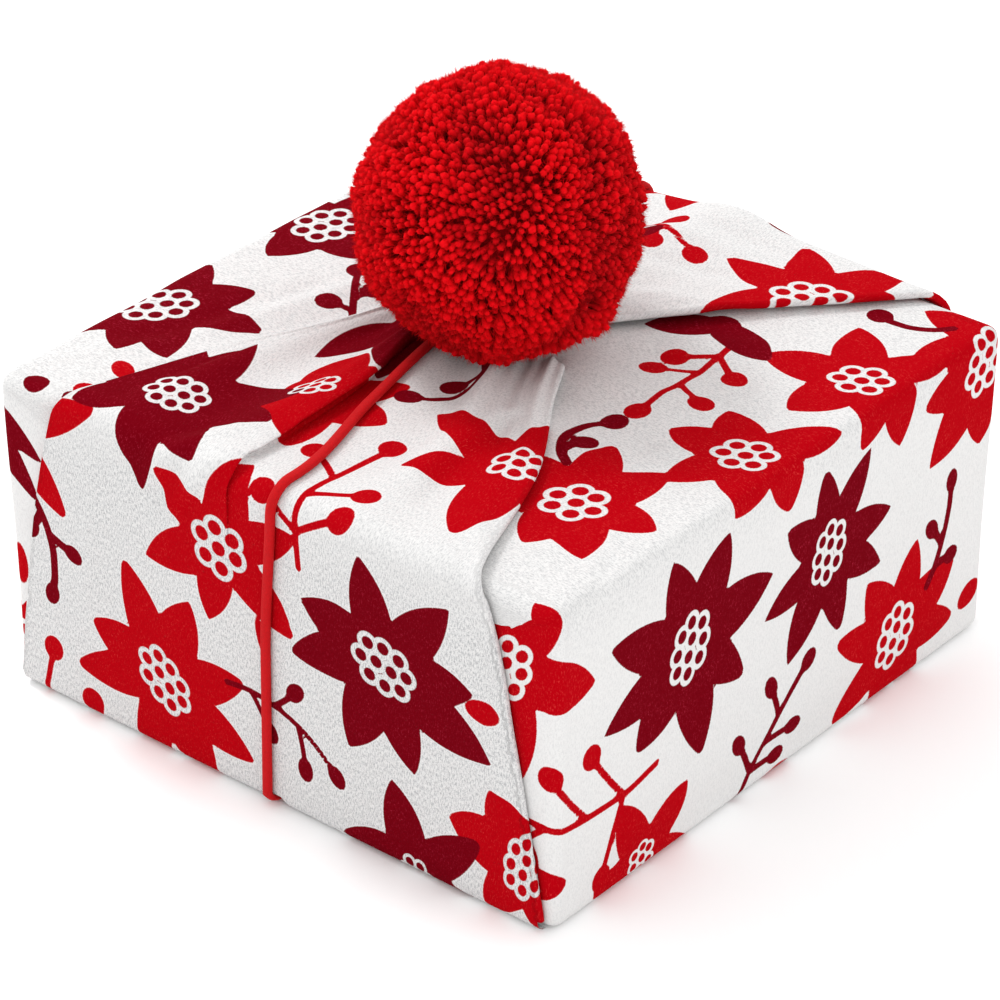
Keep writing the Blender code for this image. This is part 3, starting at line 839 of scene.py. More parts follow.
@dataclass
class Flap:
    """A long flap: up one wall, over the edge and along the top, with its sides turned under.

    Attributes:
        side: The wall that it comes up.
        creases: Its creases, from -X to +X.
        arm: Its print.
        puckers: Soft ridges and troughs laid on it.
        step: Spacing of its grid, in metres.
        sizes: Sizes of the wrap.
    """

    side: Side
    creases: tuple[Crease, ...]
    arm: PrintedArm
    puckers: tuple[Pucker, ...] = ()
    step: float = 0.00130
    sizes: WrapSizes = SIZES

    def __post_init__(self) -> None:
        """Work out the lengths of the flap's path."""
        s = self.sizes
        self.foot_length = s.foot_radius * math.pi / 2
        self.turn_start = self.foot_length + s.turn_z - s.foot_z
        self.top_start = self.turn_start + s.flap_radius * math.pi / 2
        self.length = self.top_start + s.turn_y - s.flap_end
        self.places = np.array(
            [
                self.foot_length,
                (self.foot_length + self.turn_start) / 2,
                self.turn_start,
                self.top_start,
                self.top_start + s.turn_y - s.middle_y,
                self.top_start + s.turn_y - s.neck_y,
                self.length,
            ]
        )

    def rows(self) -> Array:
        """Distances along the flap at which its grid has a row."""
        rows = even(0.0, self.foot_length, self.foot_length / 4)
        rows += even(self.foot_length, self.turn_start, self.step)
        rows += even(self.turn_start, self.top_start, self.step)
        return np.array(rows + even(self.top_start, self.length, self.step, last=True))

    def path(self, distance: Array) -> tuple[Array, Array, Array]:
        """The flap with no creases.

        Args:
            distance: Distances along its inner face from the floor, in metres.

        Returns:
            (y, z) of the inner face outwards from the middle, its normals, and the print's
            v in millimetres.
        """
        s = self.sizes
        foot = np.clip(distance / s.foot_radius, 0, math.pi / 2)
        turn = np.clip((distance - self.turn_start) / s.flap_radius, 0, math.pi / 2)
        wall = np.clip(distance, self.foot_length, self.turn_start) - self.foot_length
        over = np.maximum(distance - self.top_start, 0.0)
        low = distance < self.turn_start
        angle = np.where(low, foot - math.pi / 2, turn)
        normal = np.stack([np.cos(angle), np.sin(angle)], axis=-1)
        radius = np.where(low, s.foot_radius, s.flap_radius)[..., None]
        centre_y = np.where(low, s.flap_y - s.foot_radius, s.turn_y - over)
        centre = np.stack([centre_y, np.where(low, s.foot_z + wall, s.turn_z)], axis=-1)
        outer = s.flap_radius + s.cloth
        v = s.foot_z + wall + outer * turn + over - np.where(low, s.foot_radius * (math.pi / 2 - foot), 0)
        return centre + radius * normal, normal, v / MM

    def lines(self, distance: Array) -> tuple[Array, Array]:
        """Each crease's x and lift at distances along the flap, in metres, by row and crease."""
        across = smooth(self.places, [crease.across for crease in self.creases], distance)
        lifts = []
        for crease in self.creases:
            waist, brow, middle, neck, end = crease.lift
            lifts.append((0, 0, waist, 0.45 * brow, brow, middle, neck, end))
        lift = smooth(np.concatenate([[0.0], self.places]), lifts, distance) * MM
        dip = self.sizes.channel_depth * np.clip(1 - (distance / self.foot_length) ** 2, 0, 1)
        for i, crease in enumerate(self.creases):
            if crease.name.startswith("band"):
                lift[i] -= dip
        return across.T * MM, lift.T

    def columns(self) -> Array:
        """Places of the grid's columns, counted in creases."""
        across, _ = self.lines(self.rows())
        widest = np.abs(np.diff(across, axis=1)).max(axis=0)
        columns: list[float] = []
        for i, width in enumerate(widest):
            columns += even(i, i + 1, min(0.5, self.step / width))
        return np.array(columns + [float(len(widest))])

    def raise_points(self, x: Array, distance: Array, lift: Array) -> Array:
        """Points of the flap's outer face, raised along its normal."""
        base, normal, _ = self.path(distance)
        out = base + normal * (lift + self.sizes.cloth)[..., None]
        return np.stack([x, self.side.value * out[..., 0], out[..., 1]], axis=-1)

    def ripple(self, place: Array, columns: Array, distance: Array) -> Array:
        """Fine folds that gather under the pompom, and the cloth's softness, in metres."""
        gather = ease(self.top_start - 0.01, self.length, distance)
        calm = ease(0, self.foot_length + 0.004, distance)
        # Two waves across the creases, out of step, grow towards the pompom
        fans = np.sin(columns * 4.4 + 0.8) * 0.55 + np.sin(columns * 7.9 + 2.1) * 0.35
        near_band = np.array([crease.name == "band" for crease in self.creases]).argmax()
        quiet = ease(0.7, 2.2, np.abs(columns - near_band))
        soft = soft_noise(place, 26, 5) * 0.34 + soft_noise(place, 11, 6) * 0.12
        total = fans * gather**1.6 * 1.15 * quiet + 1.3 * soft * calm * (0.35 + 0.65 * quiet)
        for pucker in self.puckers:
            total = total + pucker.height(place) * calm * (0.25 + 0.75 * quiet)
        return total * MM

    def grids(self) -> list[Grid]:
        """The flap itself and its two turned-under sides."""
        distances, columns = self.rows(), self.columns()
        across, lift = self.lines(distances)
        marks = np.arange(len(self.creases), dtype=float)
        x, rise = smooth(marks, across, columns), smooth(marks, lift, columns)
        distance = np.broadcast_to(distances[:, None], x.shape)
        v = self.path(distance)[2]
        place = np.stack([x / MM, v], axis=-1)
        rise = rise + self.ripple(place, np.broadcast_to(columns, x.shape), distance)
        face = self.side is Side.FRONT
        grids = [Grid(self.raise_points(x, distance, rise), place, self.arm, face)]
        for edge, inwards in ((0, 1), (-1, -1)):
            hem = self.hem(x, rise, distances, edge, inwards)
            grids.append(Grid(hem[0], hem[1], self.arm, face == (edge == -1)))
        return grids

    def hem(self, x: Array, rise: Array, distances: Array, edge: int, inwards: int) -> tuple[Array, Array]:
        """The turned-under cloth at one fold.

        Args:
            x: The flap's x, by row and column.
            rise: The flap's lift, by row and column.
            distances: Distance of each row.
            edge: The fold's column, 0 or -1.
            inwards: Direction in x from the fold into the flap, 1 or -1.

        Returns:
            The points and print positions, from the fold's crest to the raw edge.
        """
        s = self.sizes
        rows = distances >= self.foot_length - 1e-9
        fold_x, fold_rise, along = x[rows, edge], rise[rows, edge], distances[rows]
        radius = s.cloth + s.fold_gap / 2
        width = s.hem_width * np.minimum(1.0, 0.35 + (along - self.foot_length) / 0.09)
        eighth = x[rows, edge + 8 * inwards]
        width = np.minimum(width, 0.8 * np.abs(eighth - fold_x) + 0.002)
        points, places = [], []
        _, _, v = self.path(along)
        for angle in np.linspace(0, math.pi, 7):
            turned = fold_x - inwards * radius * math.sin(angle)
            sunk = fold_rise - radius * (1 - math.cos(angle))
            points.append(self.raise_points(turned, along, sunk))
            places.append(np.stack([(fold_x - inwards * radius * angle) / MM, v], axis=-1))
        for share in (0.25, 0.5, 0.75, 1.0):
            turned = fold_x + inwards * width * share
            points.append(self.raise_points(turned, along, fold_rise - 2 * radius))
            unfolded = fold_x - inwards * (radius * math.pi + width * share)
            places.append(np.stack([unfolded / MM, v], axis=-1))
        return np.stack(points, axis=1), np.stack(places, axis=1)


@dataclass
class SidePanel:
    """A plain panel: up one wall, over the edge and narrowing along the top to the pompom.

    Attributes:
        hand: The wall that it comes up.
        arm: Its print.
        puckers: Soft ridges and troughs laid on it.
        step: Spacing of its grid, in metres.
        sizes: Sizes of the wrap.
        tab: How far it reaches round the upright corners, at the foot and at the edge.
        lip: How far its top reaches down under the flaps.
    """

    hand: Hand
    arm: PrintedArm
    puckers: tuple[Pucker, ...] = ()
    step: float = 0.00130
    sizes: WrapSizes = SIZES
    tab: Spot = (0.014, 0.032)
    lip: float = 0.014

    def rows(self) -> tuple[Array, Array, Array, Array]:
        """The panel's rows: centre x and z of their curve, angle, and the print's v in metres."""
        s = self.sizes
        foot = [(s.panel_x - s.foot_radius, s.foot_z, a) for a in even(-math.pi / 2, 0, math.pi / 8)]
        wall = [(s.turn_x, z, 0.0) for z in even(s.foot_z, s.turn_z, self.step)]
        turn = [(s.turn_x, s.turn_z, a) for a in even(0, math.pi / 2, self.step / 0.0036)]
        top = [(x, s.turn_z, math.pi / 2) for x in even(s.turn_x, s.side_panel_end, self.step, last=True)]
        rows = np.array(foot + wall + turn + top)
        outer = s.corner_radius + s.cloth
        x, z, angle = rows.T
        v = z + np.where(angle > 0, outer * angle, (s.foot_radius + s.cloth) * angle)
        return x, z, angle, v + (s.turn_x - x) * (angle >= ON_TOP)

    def half_width(self, x: Array, angle: Array) -> Array:
        """Half width of each row, narrowing over the top."""
        taper = np.minimum(self.sizes.turn_y, 0.044 + 1.08 * x)
        return np.where(angle >= ON_TOP, taper, self.sizes.turn_y)

    def outline(self, x: Array, z: Array, angle: Array, depth: Array) -> tuple[Array, Array]:
        """x and z of the outer face on the rows' curve, raised by depth."""
        s = self.sizes
        radius = np.where(angle < 0, s.foot_radius, s.corner_radius) + s.cloth + depth
        return x + radius * np.cos(angle), z + radius * np.sin(angle)

    def ripple(self, place: Array, share: Array) -> Array:
        """The cloth's softness and the folds that gather under the pompom, in metres."""
        v = place[..., 1]
        gather = ease(140, 205, v)
        calm = ease(4, 14, v)
        fans = np.sin(share * 9.0 + 0.4) * 0.6 + np.sin(share * 17.0 + 1.1) * 0.4
        soft = soft_noise(place, 24, 9) * 0.3 + soft_noise(place, 10, 3) * 0.1
        total = fans * gather * 0.9 + soft * calm
        for pucker in self.puckers:
            total = total + pucker.height(place) * calm
        return total * MM

    def grids(self) -> list[Grid]:
        """The panel itself and its two ends round the upright corners."""
        s = self.sizes
        x, z, angle, v = self.rows()
        half = self.half_width(x, angle)
        share = np.array(even(-1.0, 1.0, self.step / s.turn_y, last=True))
        y = share[None, :] * half[:, None]
        place = np.stack([y / MM, np.broadcast_to(v[:, None] / MM, y.shape)], axis=-1)
        lift = self.ripple(place, np.broadcast_to(share, y.shape))
        flat = 1 - ease(0.97, 1.0, np.abs(share))[None, :]
        out_x, out_z = self.outline(x[:, None], z[:, None], angle[:, None], lift * flat)
        points = np.stack([self.hand.value * out_x, y, out_z], axis=-1)
        face = self.hand is Hand.RIGHT
        grids = [Grid(points, place, self.arm, face)]
        rows = half >= s.turn_y - 1e-9
        for end in (-1, 1):
            grids.append(self.corner(x[rows], z[rows], angle[rows], v[rows], end, face == (end == 1)))
        return grids

    def corner(self, x: Array, z: Array, angle: Array, v: Array, end: int, side_out: bool) -> Grid:
        """The cloth round one upright corner and on under the flap.

        Args:
            x: Centre x of the rows' curve.
            z: Centre z of the rows' curve.
            angle: Angle of the rows.
            v: The print's v of the rows, in metres.
            end: -1 for the front corner, 1 for the back one.
            side_out: As in Grid.

        Returns:
            The grid, from the corner's start inwards under the flap.
        """
        s = self.sizes
        radius = s.corner_radius + s.cloth
        foot = angle < 0
        low_out = x - s.turn_x + (s.foot_radius + s.cloth) * np.cos(angle)
        low_z = z + (s.foot_radius + s.cloth) * np.sin(angle)
        points, places = [], []
        for turn in np.linspace(0, math.pi / 2, 7):
            out = radius * math.cos(turn)
            away = np.where(foot, low_out, radius) * math.sin(turn)
            out_x = np.where(foot, s.turn_x + low_out * math.cos(turn), x + out * np.cos(angle))
            out_z = np.where(foot, low_z, z + out * np.sin(angle))
            points.append(np.stack([out_x, end * (s.turn_y + away), out_z], -1))
            places.append(np.stack([np.full_like(x, end * (s.turn_y + radius * turn)), v], -1) / MM)
        climb = (z - s.foot_z) / (s.turn_z - s.foot_z)
        reach = self.tab[0] + (self.tab[1] - self.tab[0]) * climb
        over = (s.turn_x - x) / (s.turn_x - s.side_panel_end) * 5
        wall = angle < ON_TOP
        inner_x = s.turn_x - reach * (1 + 0.12 * over)
        inner_z = np.where(wall, z - self.lip * climb, s.turn_z - self.lip * (1 - 0.35 * over))
        near_x, near_z = np.minimum(x, s.turn_x), np.where(foot, low_z, z)
        inner_z = np.where(foot, low_z, inner_z)
        tab_y = end * (s.turn_y + np.where(foot, low_out, radius))
        for share in even(0, 1, 0.05, last=True)[1:]:
            across = near_x + (inner_x - near_x) * share
            points.append(np.stack([across, tab_y, near_z + (inner_z - near_z) * share], -1))
            away = s.turn_y + radius * math.pi / 2 + reach * share
            places.append(np.stack([end * away, v], -1) / MM)
        stacked = np.stack(points, axis=1)
        stacked[..., 0] *= self.hand.value
        return Grid(stacked, np.stack(places, axis=1), self.arm, side_out)


@dataclass
class FloorPanel:
    """The cloth under the box, with the channel in which the band passes.

    Attributes:
        step: Spacing of its grid, in metres.
        sizes: Sizes of the wrap.
    """

    step: float = 0.004
    sizes: WrapSizes = SIZES

    def grid(self) -> Grid:
        """The panel as one grid."""
        s = self.sizes
        wide, long = s.panel_x - s.foot_radius, s.flap_y - s.foot_radius
        channel = [-5.6, -4.6, -3.6, -2.5, -1.2, 0, 1.2, 2.5, 3.6, 4.6, 5.6]
        half = even(0.0056 + self.step, wide, self.step, last=True)
        xs = np.array([-x for x in reversed(half)] + [x * MM for x in channel] + half)
        ys = np.array(even(-long, long, self.step, last=True))
        x, y = np.meshgrid(xs, ys)
        y = np.where(np.abs(x) < wide - 1e-6, y, y * (s.turn_y + 0.0002) / long)
        rise = s.channel_depth * (1 - ease(0.0025, 0.0056, np.abs(x)))
        place = np.stack([x / MM, (np.abs(y) - long) / MM], axis=-1)
        return Grid(np.stack([x, y, rise], axis=-1), place, FRONT_PRINT, False)


# Finishes


@dataclass(frozen=True)
class CrepeCotton:
    """Crinkled crepe cotton, woven from hard-twisted yarn and screen-printed in two inks.

    The crinkle is painted into the colour as fine rows of short pale and grey flecks along the
    warp, the grey ones painted shade in its troughs; there is most of that painted shade, and most
    relief, on the flaps' walls, less on the tops and least on the plain panels' walls, so that the
    walls come out darker or lighter by painted shade. Where the cloth is inked, the crests of the
    crinkle carry painted highlights, and a hair of bare white runs round each printed shape. It is
    matte all over. The real weave is 0.3 mm; it is drawn at 0.42 mm, the finest that shows.
    """

    ground: str = "#DCDBDA"
    # Painted shade in the crinkle's troughs, mixed into the ground colour
    shade: str = "#A3A4A6"
    halo: str = "#DCDBDA"
    red: str = "#AA010D"
    # Painted highlights on the crinkle's crests, one for each ink
    red_highlight: str = "#D03232"
    burgundy: str = "#6C010E"
    burgundy_highlight: str = "#A32439"
    crinkle_mm: Spot = (0.42, 1.3)
    weave_mm: float = 0.42
    ten_rings: tuple[Spot, ...] = (
        *((-6.4, 5.2), (-1.0, 6.4), (4.8, 5.6)),
        *((-8.2, -0.6), (-2.7, 0.4), (2.9, 0.0), (8.2, 1.4)),
        *((-4.4, -5.6), (1.3, -6.2), (6.7, -4.4)),
    )
    seven_rings: tuple[Spot, ...] = (
        (0.2, -0.1),
        *((6.3, 0.6), (3.5, 5.5), (-2.9, 5.9)),
        *((-6.4, 0.8), (-3.3, -5.4), (3.0, -5.9)),
    )
    hole: float = 2.1
    wide_hole: float = 2.4
    rim: float = 3.75
    wide_rim: float = 4.1

    def build(self) -> bpy.types.Material:
        """Make the material.

        Returns:
            The material, which reads the cloth's attributes.
        """
        material, tree, shader = blank_material("printed crepe cotton")
        shader.inputs["Roughness"].default_value = 0.95
        shader.inputs["IOR"].default_value = 1.46
        shader.inputs["Specular IOR Level"].default_value = 0.02
        math_kind, noise_kind, mix_kind = "ShaderNodeMath", "ShaderNodeTexNoise", "ShaderNodeMix"
        add, subtract, lesser = {"operation": "ADD"}, {"operation": "SUBTRACT"}, {"operation": "MINIMUM"}
        times, scaled, rgb = {"operation": "MULTIPLY"}, {"operation": "MULTIPLY_ADD"}, {"data_type": "RGBA"}
        clipped = {"operation": "MULTIPLY_ADD", "use_clamp": True}

        place = add_node(tree, "ShaderNodeAttribute", {"attribute_name": "cloth_place"}, output="Vector")
        shapes = add_node(tree, "ShaderNodeAttribute", {"attribute_name": "print_shapes"}, output="Vector")
        heart = add_node(tree, "ShaderNodeAttribute", {"attribute_name": "heart_place"}, output="Vector")
        off_red = add_node(tree, "ShaderNodeSeparateXYZ", inputs={0: shapes})
        off_burgundy, off_heart = off_red.node.outputs[1], off_red.node.outputs[2]
        along = add_node(tree, "ShaderNodeSeparateXYZ", inputs={0: place}, output=1)
        # Share of the crinkle's relief and of its painted trough shade: most on the flaps' walls, less on
        # the tops, least on the plain panels' walls, which paints the flaps' walls darker
        flap_marks = {0: along.node.outputs[2], 1: GRID_MARK * (FLAP_GRIDS - 0.5)}
        on_flap = add_node(tree, math_kind, {"operation": "LESS_THAN"}, flap_marks)
        on_wall = add_node(tree, math_kind, clipped, {0: along, 1: -1 / 20, 2: 5.3})
        # The flaps get more painted trough shade and relief than the plain panels
        drawn = add_node(tree, math_kind, scaled, {0: on_flap, 1: 0.70, 2: -0.35})
        relief_and_shade_share = add_node(tree, math_kind, scaled, {0: on_wall, 1: drawn, 2: 0.6})

        rows = {"Vector": place, "Scale": (1 / self.crinkle_mm[0], 1 / self.crinkle_mm[1], 1.0)}
        stretched = add_node(tree, "ShaderNodeMapping", inputs=rows)
        crinkle = add_node(
            tree, noise_kind, inputs={"Vector": stretched, "Scale": 1.0, "Detail": 1.5, "Roughness": 0.5}
        )
        weave = add_node(
            tree,
            noise_kind,
            inputs={"Vector": place, "Scale": 1 / self.weave_mm, "Detail": 2.0, "Roughness": 0.7},
        )
        patch = add_node(tree, noise_kind, inputs={"Vector": place, "Scale": 1 / 7.0, "Detail": 2.0})
        fray = add_node(tree, math_kind, scaled, {0: weave, 1: 0.5, 2: -0.25})

        def inside(span: bpy.types.NodeSocket, edge: float = 0.26) -> bpy.types.NodeSocket:
            """1 inside a printed shape and 0 outside it, over a soft edge in millimetres."""
            frayed = add_node(tree, math_kind, add, {0: span, 1: fray})
            return add_node(tree, math_kind, clipped, {0: frayed, 1: -1 / edge, 2: 0.5})

        ring = None
        for kind, middles, hole, rim in (
            (Heart.TEN_RINGS, self.ten_rings, self.hole, self.rim),
            (Heart.SEVEN_RINGS, self.seven_rings, self.wide_hole, self.wide_rim),
        ):
            nearest = None
            for x, y in middles:
                ends = {0: heart, 1: (x, y, kind.value)}
                gap = add_node(tree, "ShaderNodeVectorMath", {"operation": "DISTANCE"}, ends, "Value")
                nearest = add_node(tree, math_kind, lesser, {0: nearest, 1: gap}) if nearest else gap
            in_rim = inside(add_node(tree, math_kind, subtract, {0: nearest, 1: rim}))
            in_hole = inside(add_node(tree, math_kind, subtract, {0: nearest, 1: hole}))
            round_hole = add_node(
                tree, math_kind, {"operation": "SUBTRACT", "use_clamp": True}, {0: in_rim, 1: in_hole}
            )
            ring = add_node(tree, math_kind, add, {0: ring, 1: round_hole}) if ring else round_hole
        by_heart = add_node(tree, math_kind, {"operation": "LESS_THAN"}, {0: off_heart, 1: 0.0})
        ring = add_node(tree, math_kind, times, {0: ring, 1: by_heart})

        rows_share = add_node(tree, math_kind, times, {0: crinkle, 1: 0.5})
        grain = add_node(tree, math_kind, scaled, {0: weave, 1: 0.5, 2: rows_share})
        # Painted shade in the crinkle's troughs, scaled by the share of painted shade worked out above
        dip = add_node(tree, math_kind, clipped, {0: grain, 1: -5.5, 2: 3.05})
        dip = add_node(tree, math_kind, times, {0: dip, 1: relief_and_shade_share})
        # Painted highlights on the inks, where the crinkle's crests catch the light, in patches
        crest_highlight = add_node(tree, math_kind, clipped, {0: grain, 1: 9.0, 2: -4.85})
        often = add_node(tree, math_kind, clipped, {0: patch, 1: 1.5, 2: -0.25})
        light = add_node(tree, math_kind, times, {0: crest_highlight, 1: often})
        # The cotton with its painted trough shade, and each ink with its painted crest highlights
        cotton = add_node(
            tree, mix_kind, rgb, {"Factor": dip, 6: ink(self.ground), 7: ink(self.shade)}, 2
        )
        red = add_node(tree, mix_kind, rgb, {"Factor": light, 6: ink(self.red), 7: ink(self.red_highlight)}, 2)
        burgundy = add_node(
            tree, mix_kind, rgb, {"Factor": light, 6: ink(self.burgundy), 7: ink(self.burgundy_highlight)}, 2
        )
        near_ink = add_node(tree, math_kind, lesser, {0: off_red, 1: off_burgundy})
        rim_of_ink = inside(add_node(tree, math_kind, subtract, {0: near_ink, 1: 0.32}))
        bare = add_node(tree, mix_kind, rgb, {"Factor": rim_of_ink, 6: cotton, 7: ink(self.halo)}, 2)
        colour = add_node(tree, mix_kind, rgb, {"Factor": inside(off_red), 6: bare, 7: red}, 2)
        colour = add_node(tree, mix_kind, rgb, {"Factor": inside(off_burgundy), 6: colour, 7: burgundy}, 2)
        colour = add_node(tree, mix_kind, rgb, {"Factor": ring, 6: colour, 7: cotton}, 2)
        tree.links.new(colour, shader.inputs["Base Color"])
        relief = {"Strength": relief_and_shade_share, "Distance": 0.0004, "Height": grain}
        tree.links.new(add_node(tree, "ShaderNodeBump", inputs=relief), shader.inputs["Normal"])
        return material


def mottle(
    tree: bpy.types.NodeTree,
    grain: dict[str, float],
    colours: tuple[str, str],
    strength: float,
    depth: float,
) -> tuple[bpy.types.NodeSocket, bpy.types.NodeSocket]:
    """Give a fibrous finish its two mingled colours and its fine relief.

    Args:
        tree: The material's node tree.
        grain: The settings of the noise that stands for its fibres.
        colours: The colours of the low and the high fibres.
        strength: Strength of the relief.
        depth: Depth of the relief, in metres.

    Returns:
        The mingled colour and the place on the object.
    """
    place = add_node(tree, "ShaderNodeTexCoord", output="Object")
    fibres = add_node(tree, "ShaderNodeTexNoise", inputs={"Vector": place} | grain)
    mix = {"Factor": fibres, 6: ink(colours[0]), 7: ink(colours[1])}
    colour = add_node(tree, "ShaderNodeMix", {"data_type": "RGBA"}, mix, 2)
    relief = {"Strength": strength, "Distance": depth, "Height": fibres}
    bump = add_node(tree, "ShaderNodeBump", inputs=relief)
    tree.links.new(bump, tree.nodes["Principled BSDF"].inputs["Normal"])
    return colour, place


@dataclass(frozen=True)
class CartonBoard:
    """Uncoated white carton board, pressed from wood pulp: matte, with faint fibres."""

    colour: str = "#EAE8E3"
    fibre: str = "#D9D5CC"
    fibre_mm: float = 1.2

    def build(self) -> bpy.types.Material:
        """Make the material."""
        material, tree, shader = blank_material("white carton board")
        shader.inputs["Roughness"].default_value = 0.8
        shader.inputs["IOR"].default_value = 1.5
        grain = {"Scale": 1 / (self.fibre_mm * MM), "Detail": 4.0}
        colour, _ = mottle(tree, grain, (self.colour, self.fibre), 0.3, 0.0001)
        tree.links.new(colour, shader.inputs["Base Color"])
        return material


@dataclass(frozen=True)
class VelvetElastic:
    """Flat elastic braided from brushed polyester over rubber: deep red with a soft pale bloom."""

    colour: str = "#CC030E"
    deep: str = "#9C0208"
    bloom: str = "#FF2E28"
    pile_mm: float = 0.7

    def build(self) -> bpy.types.Material:
        """Make the material."""
        material, tree, shader = blank_material("brushed red elastic")
        shader.inputs["Roughness"].default_value = 0.85
        shader.inputs["Specular IOR Level"].default_value = 0.2
        shader.inputs["Sheen Weight"].default_value = 0.35
        shader.inputs["Sheen Roughness"].default_value = 0.35
        shader.inputs["Sheen Tint"].default_value = ink(self.bloom)
        grain = {"Scale": 1 / (self.pile_mm * MM), "Detail": 3.0, "Roughness": 0.7}
        colour, _ = mottle(tree, grain, (self.deep, self.colour), 0.6, 0.0003)
        tree.links.new(colour, shader.inputs["Base Color"])
        return material


@dataclass(frozen=True)
class WoolYarn:
    """Plied wool yarn, cut and brushed open: saturated red tips over gaps of painted shade, dull and fuzzy.

    Between the two depths, which count from the ball's middle, it turns from the painted shade of the gaps
    to the tips' own colour.
    """

    colour: str = "#FB0412"
    deep: str = "#CE0210"
    # Painted shade between the yarn ends, where they lie deep in the ball
    gap: str = "#8C000A"
    bloom: str = "#FF241C"
    fluff_mm: float = 0.9
    depths: Spot = (0.0375, 0.0425)

    def build(self) -> bpy.types.Material:
        """Make the material."""
        material, tree, shader = blank_material("cut wool yarn")
        shader.inputs["Roughness"].default_value = 0.95
        shader.inputs["Specular IOR Level"].default_value = 0.1
        shader.inputs["Sheen Weight"].default_value = 0.5
        shader.inputs["Sheen Roughness"].default_value = 0.5
        shader.inputs["Sheen Tint"].default_value = ink(self.bloom)
        grain = {"Scale": 1 / (self.fluff_mm * MM), "Detail": 4.0, "Roughness": 0.7}
        colour, place = mottle(tree, grain, (self.deep, self.colour), 0.8, 0.0006)
        # Painted shade: the colour darkens to the gap colour deeper in the ball, where the ends shade one
        # another
        ends = {0: place, 1: BALL_MIDDLE}
        away = add_node(tree, "ShaderNodeVectorMath", {"operation": "DISTANCE"}, ends, "Value")
        span = {"Value": away, "From Min": self.depths[0], "From Max": self.depths[1]}
        lit_share = add_node(tree, "ShaderNodeMapRange", inputs=span)
        mix = {"Factor": lit_share, 6: ink(self.gap), 7: colour}
        colour = add_node(tree, "ShaderNodeMix", {"data_type": "RGBA"}, mix, 2)
        tree.links.new(colour, shader.inputs["Base Color"])
        return material


# Pieces


@dataclass
class WrappingCloth:
    """The whole cloth as one thin sheet on the folds of its solid.

    Attributes:
        flaps: The two folded flaps.
        panels: The two plain panels.
        floor: The cloth under the box.
        flat: Width and length that it was cut to, in metres; not used.
        cut: Area of the cut in square metres, a cross with no corners, because the folded
        corners that lie hidden under the flaps are left out; not used.
        finish: What it is made of.
    """

    flaps: tuple[Flap, ...]
    panels: tuple[SidePanel, ...]
    floor: FloorPanel = field(default_factory=FloorPanel)
    flat: tuple[float, float] = (0.60, 0.61)
    cut: float = 0.205
    finish: CrepeCotton = field(default_factory=CrepeCotton)

    def build(self) -> bpy.types.Object:
        """Join the grids into one mesh, print it and dress it.

        Returns:
            The cloth.
        """
        grids = [grid for flap in self.flaps for grid in flap.grids()]
        grids += [grid for panel in self.panels for grid in panel.grids()]
        grids.append(self.floor.grid())
        points, faces, place, shapes, hearts = [], [], [], [], []
        start = 0
        for number, grid in enumerate(grids):
            rows, columns = grid.points.shape[:2]
            points.append(SIZES.lean(grid.points).reshape(-1, 3))
            inks, heart = grid.arm.shapes(grid.place)
            mark = np.full((rows, columns), GRID_MARK * number)
            place.append(np.dstack([grid.place, mark]).reshape(-1, 3))
            shapes.append(inks.reshape(-1, 3))
            hearts.append(heart.reshape(-1, 3))
            first = start + np.arange(rows - 1)[:, None] * columns + np.arange(columns - 1)[None, :]
            first = first.ravel()
            quads = np.stack([first, first + 1, first + columns + 1, first + columns], axis=1)
            faces.append(quads if grid.side_out else quads[:, ::-1])
            start += rows * columns
        data = bpy.data.meshes.new("cloth")
        data.from_pydata(np.concatenate(points).tolist(), [], np.concatenate(faces).tolist())
        for name, values in (("cloth_place", place), ("print_shapes", shapes), ("heart_place", hearts)):
            layer = data.attributes.new(name, "FLOAT_VECTOR", "POINT")
            layer.data.foreach_set("vector", np.concatenate(values).astype(np.float32).ravel())
        mesh = bmesh.new()
        mesh.from_mesh(data)
        bmesh.ops.remove_doubles(mesh, verts=mesh.verts, dist=0.00001)
        mesh.to_mesh(data)
        mesh.free()
        data.shade_smooth()
        cloth = add_thing("crepe_cloth", data, self.finish.build())
        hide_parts("wrapping_cloth")
        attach(cloth, "root")
        area = sum(polygon.area for polygon in data.polygons)
        LOG.info("cloth: %d faces, %.4f square metres", len(data.polygons), area)
        return cloth


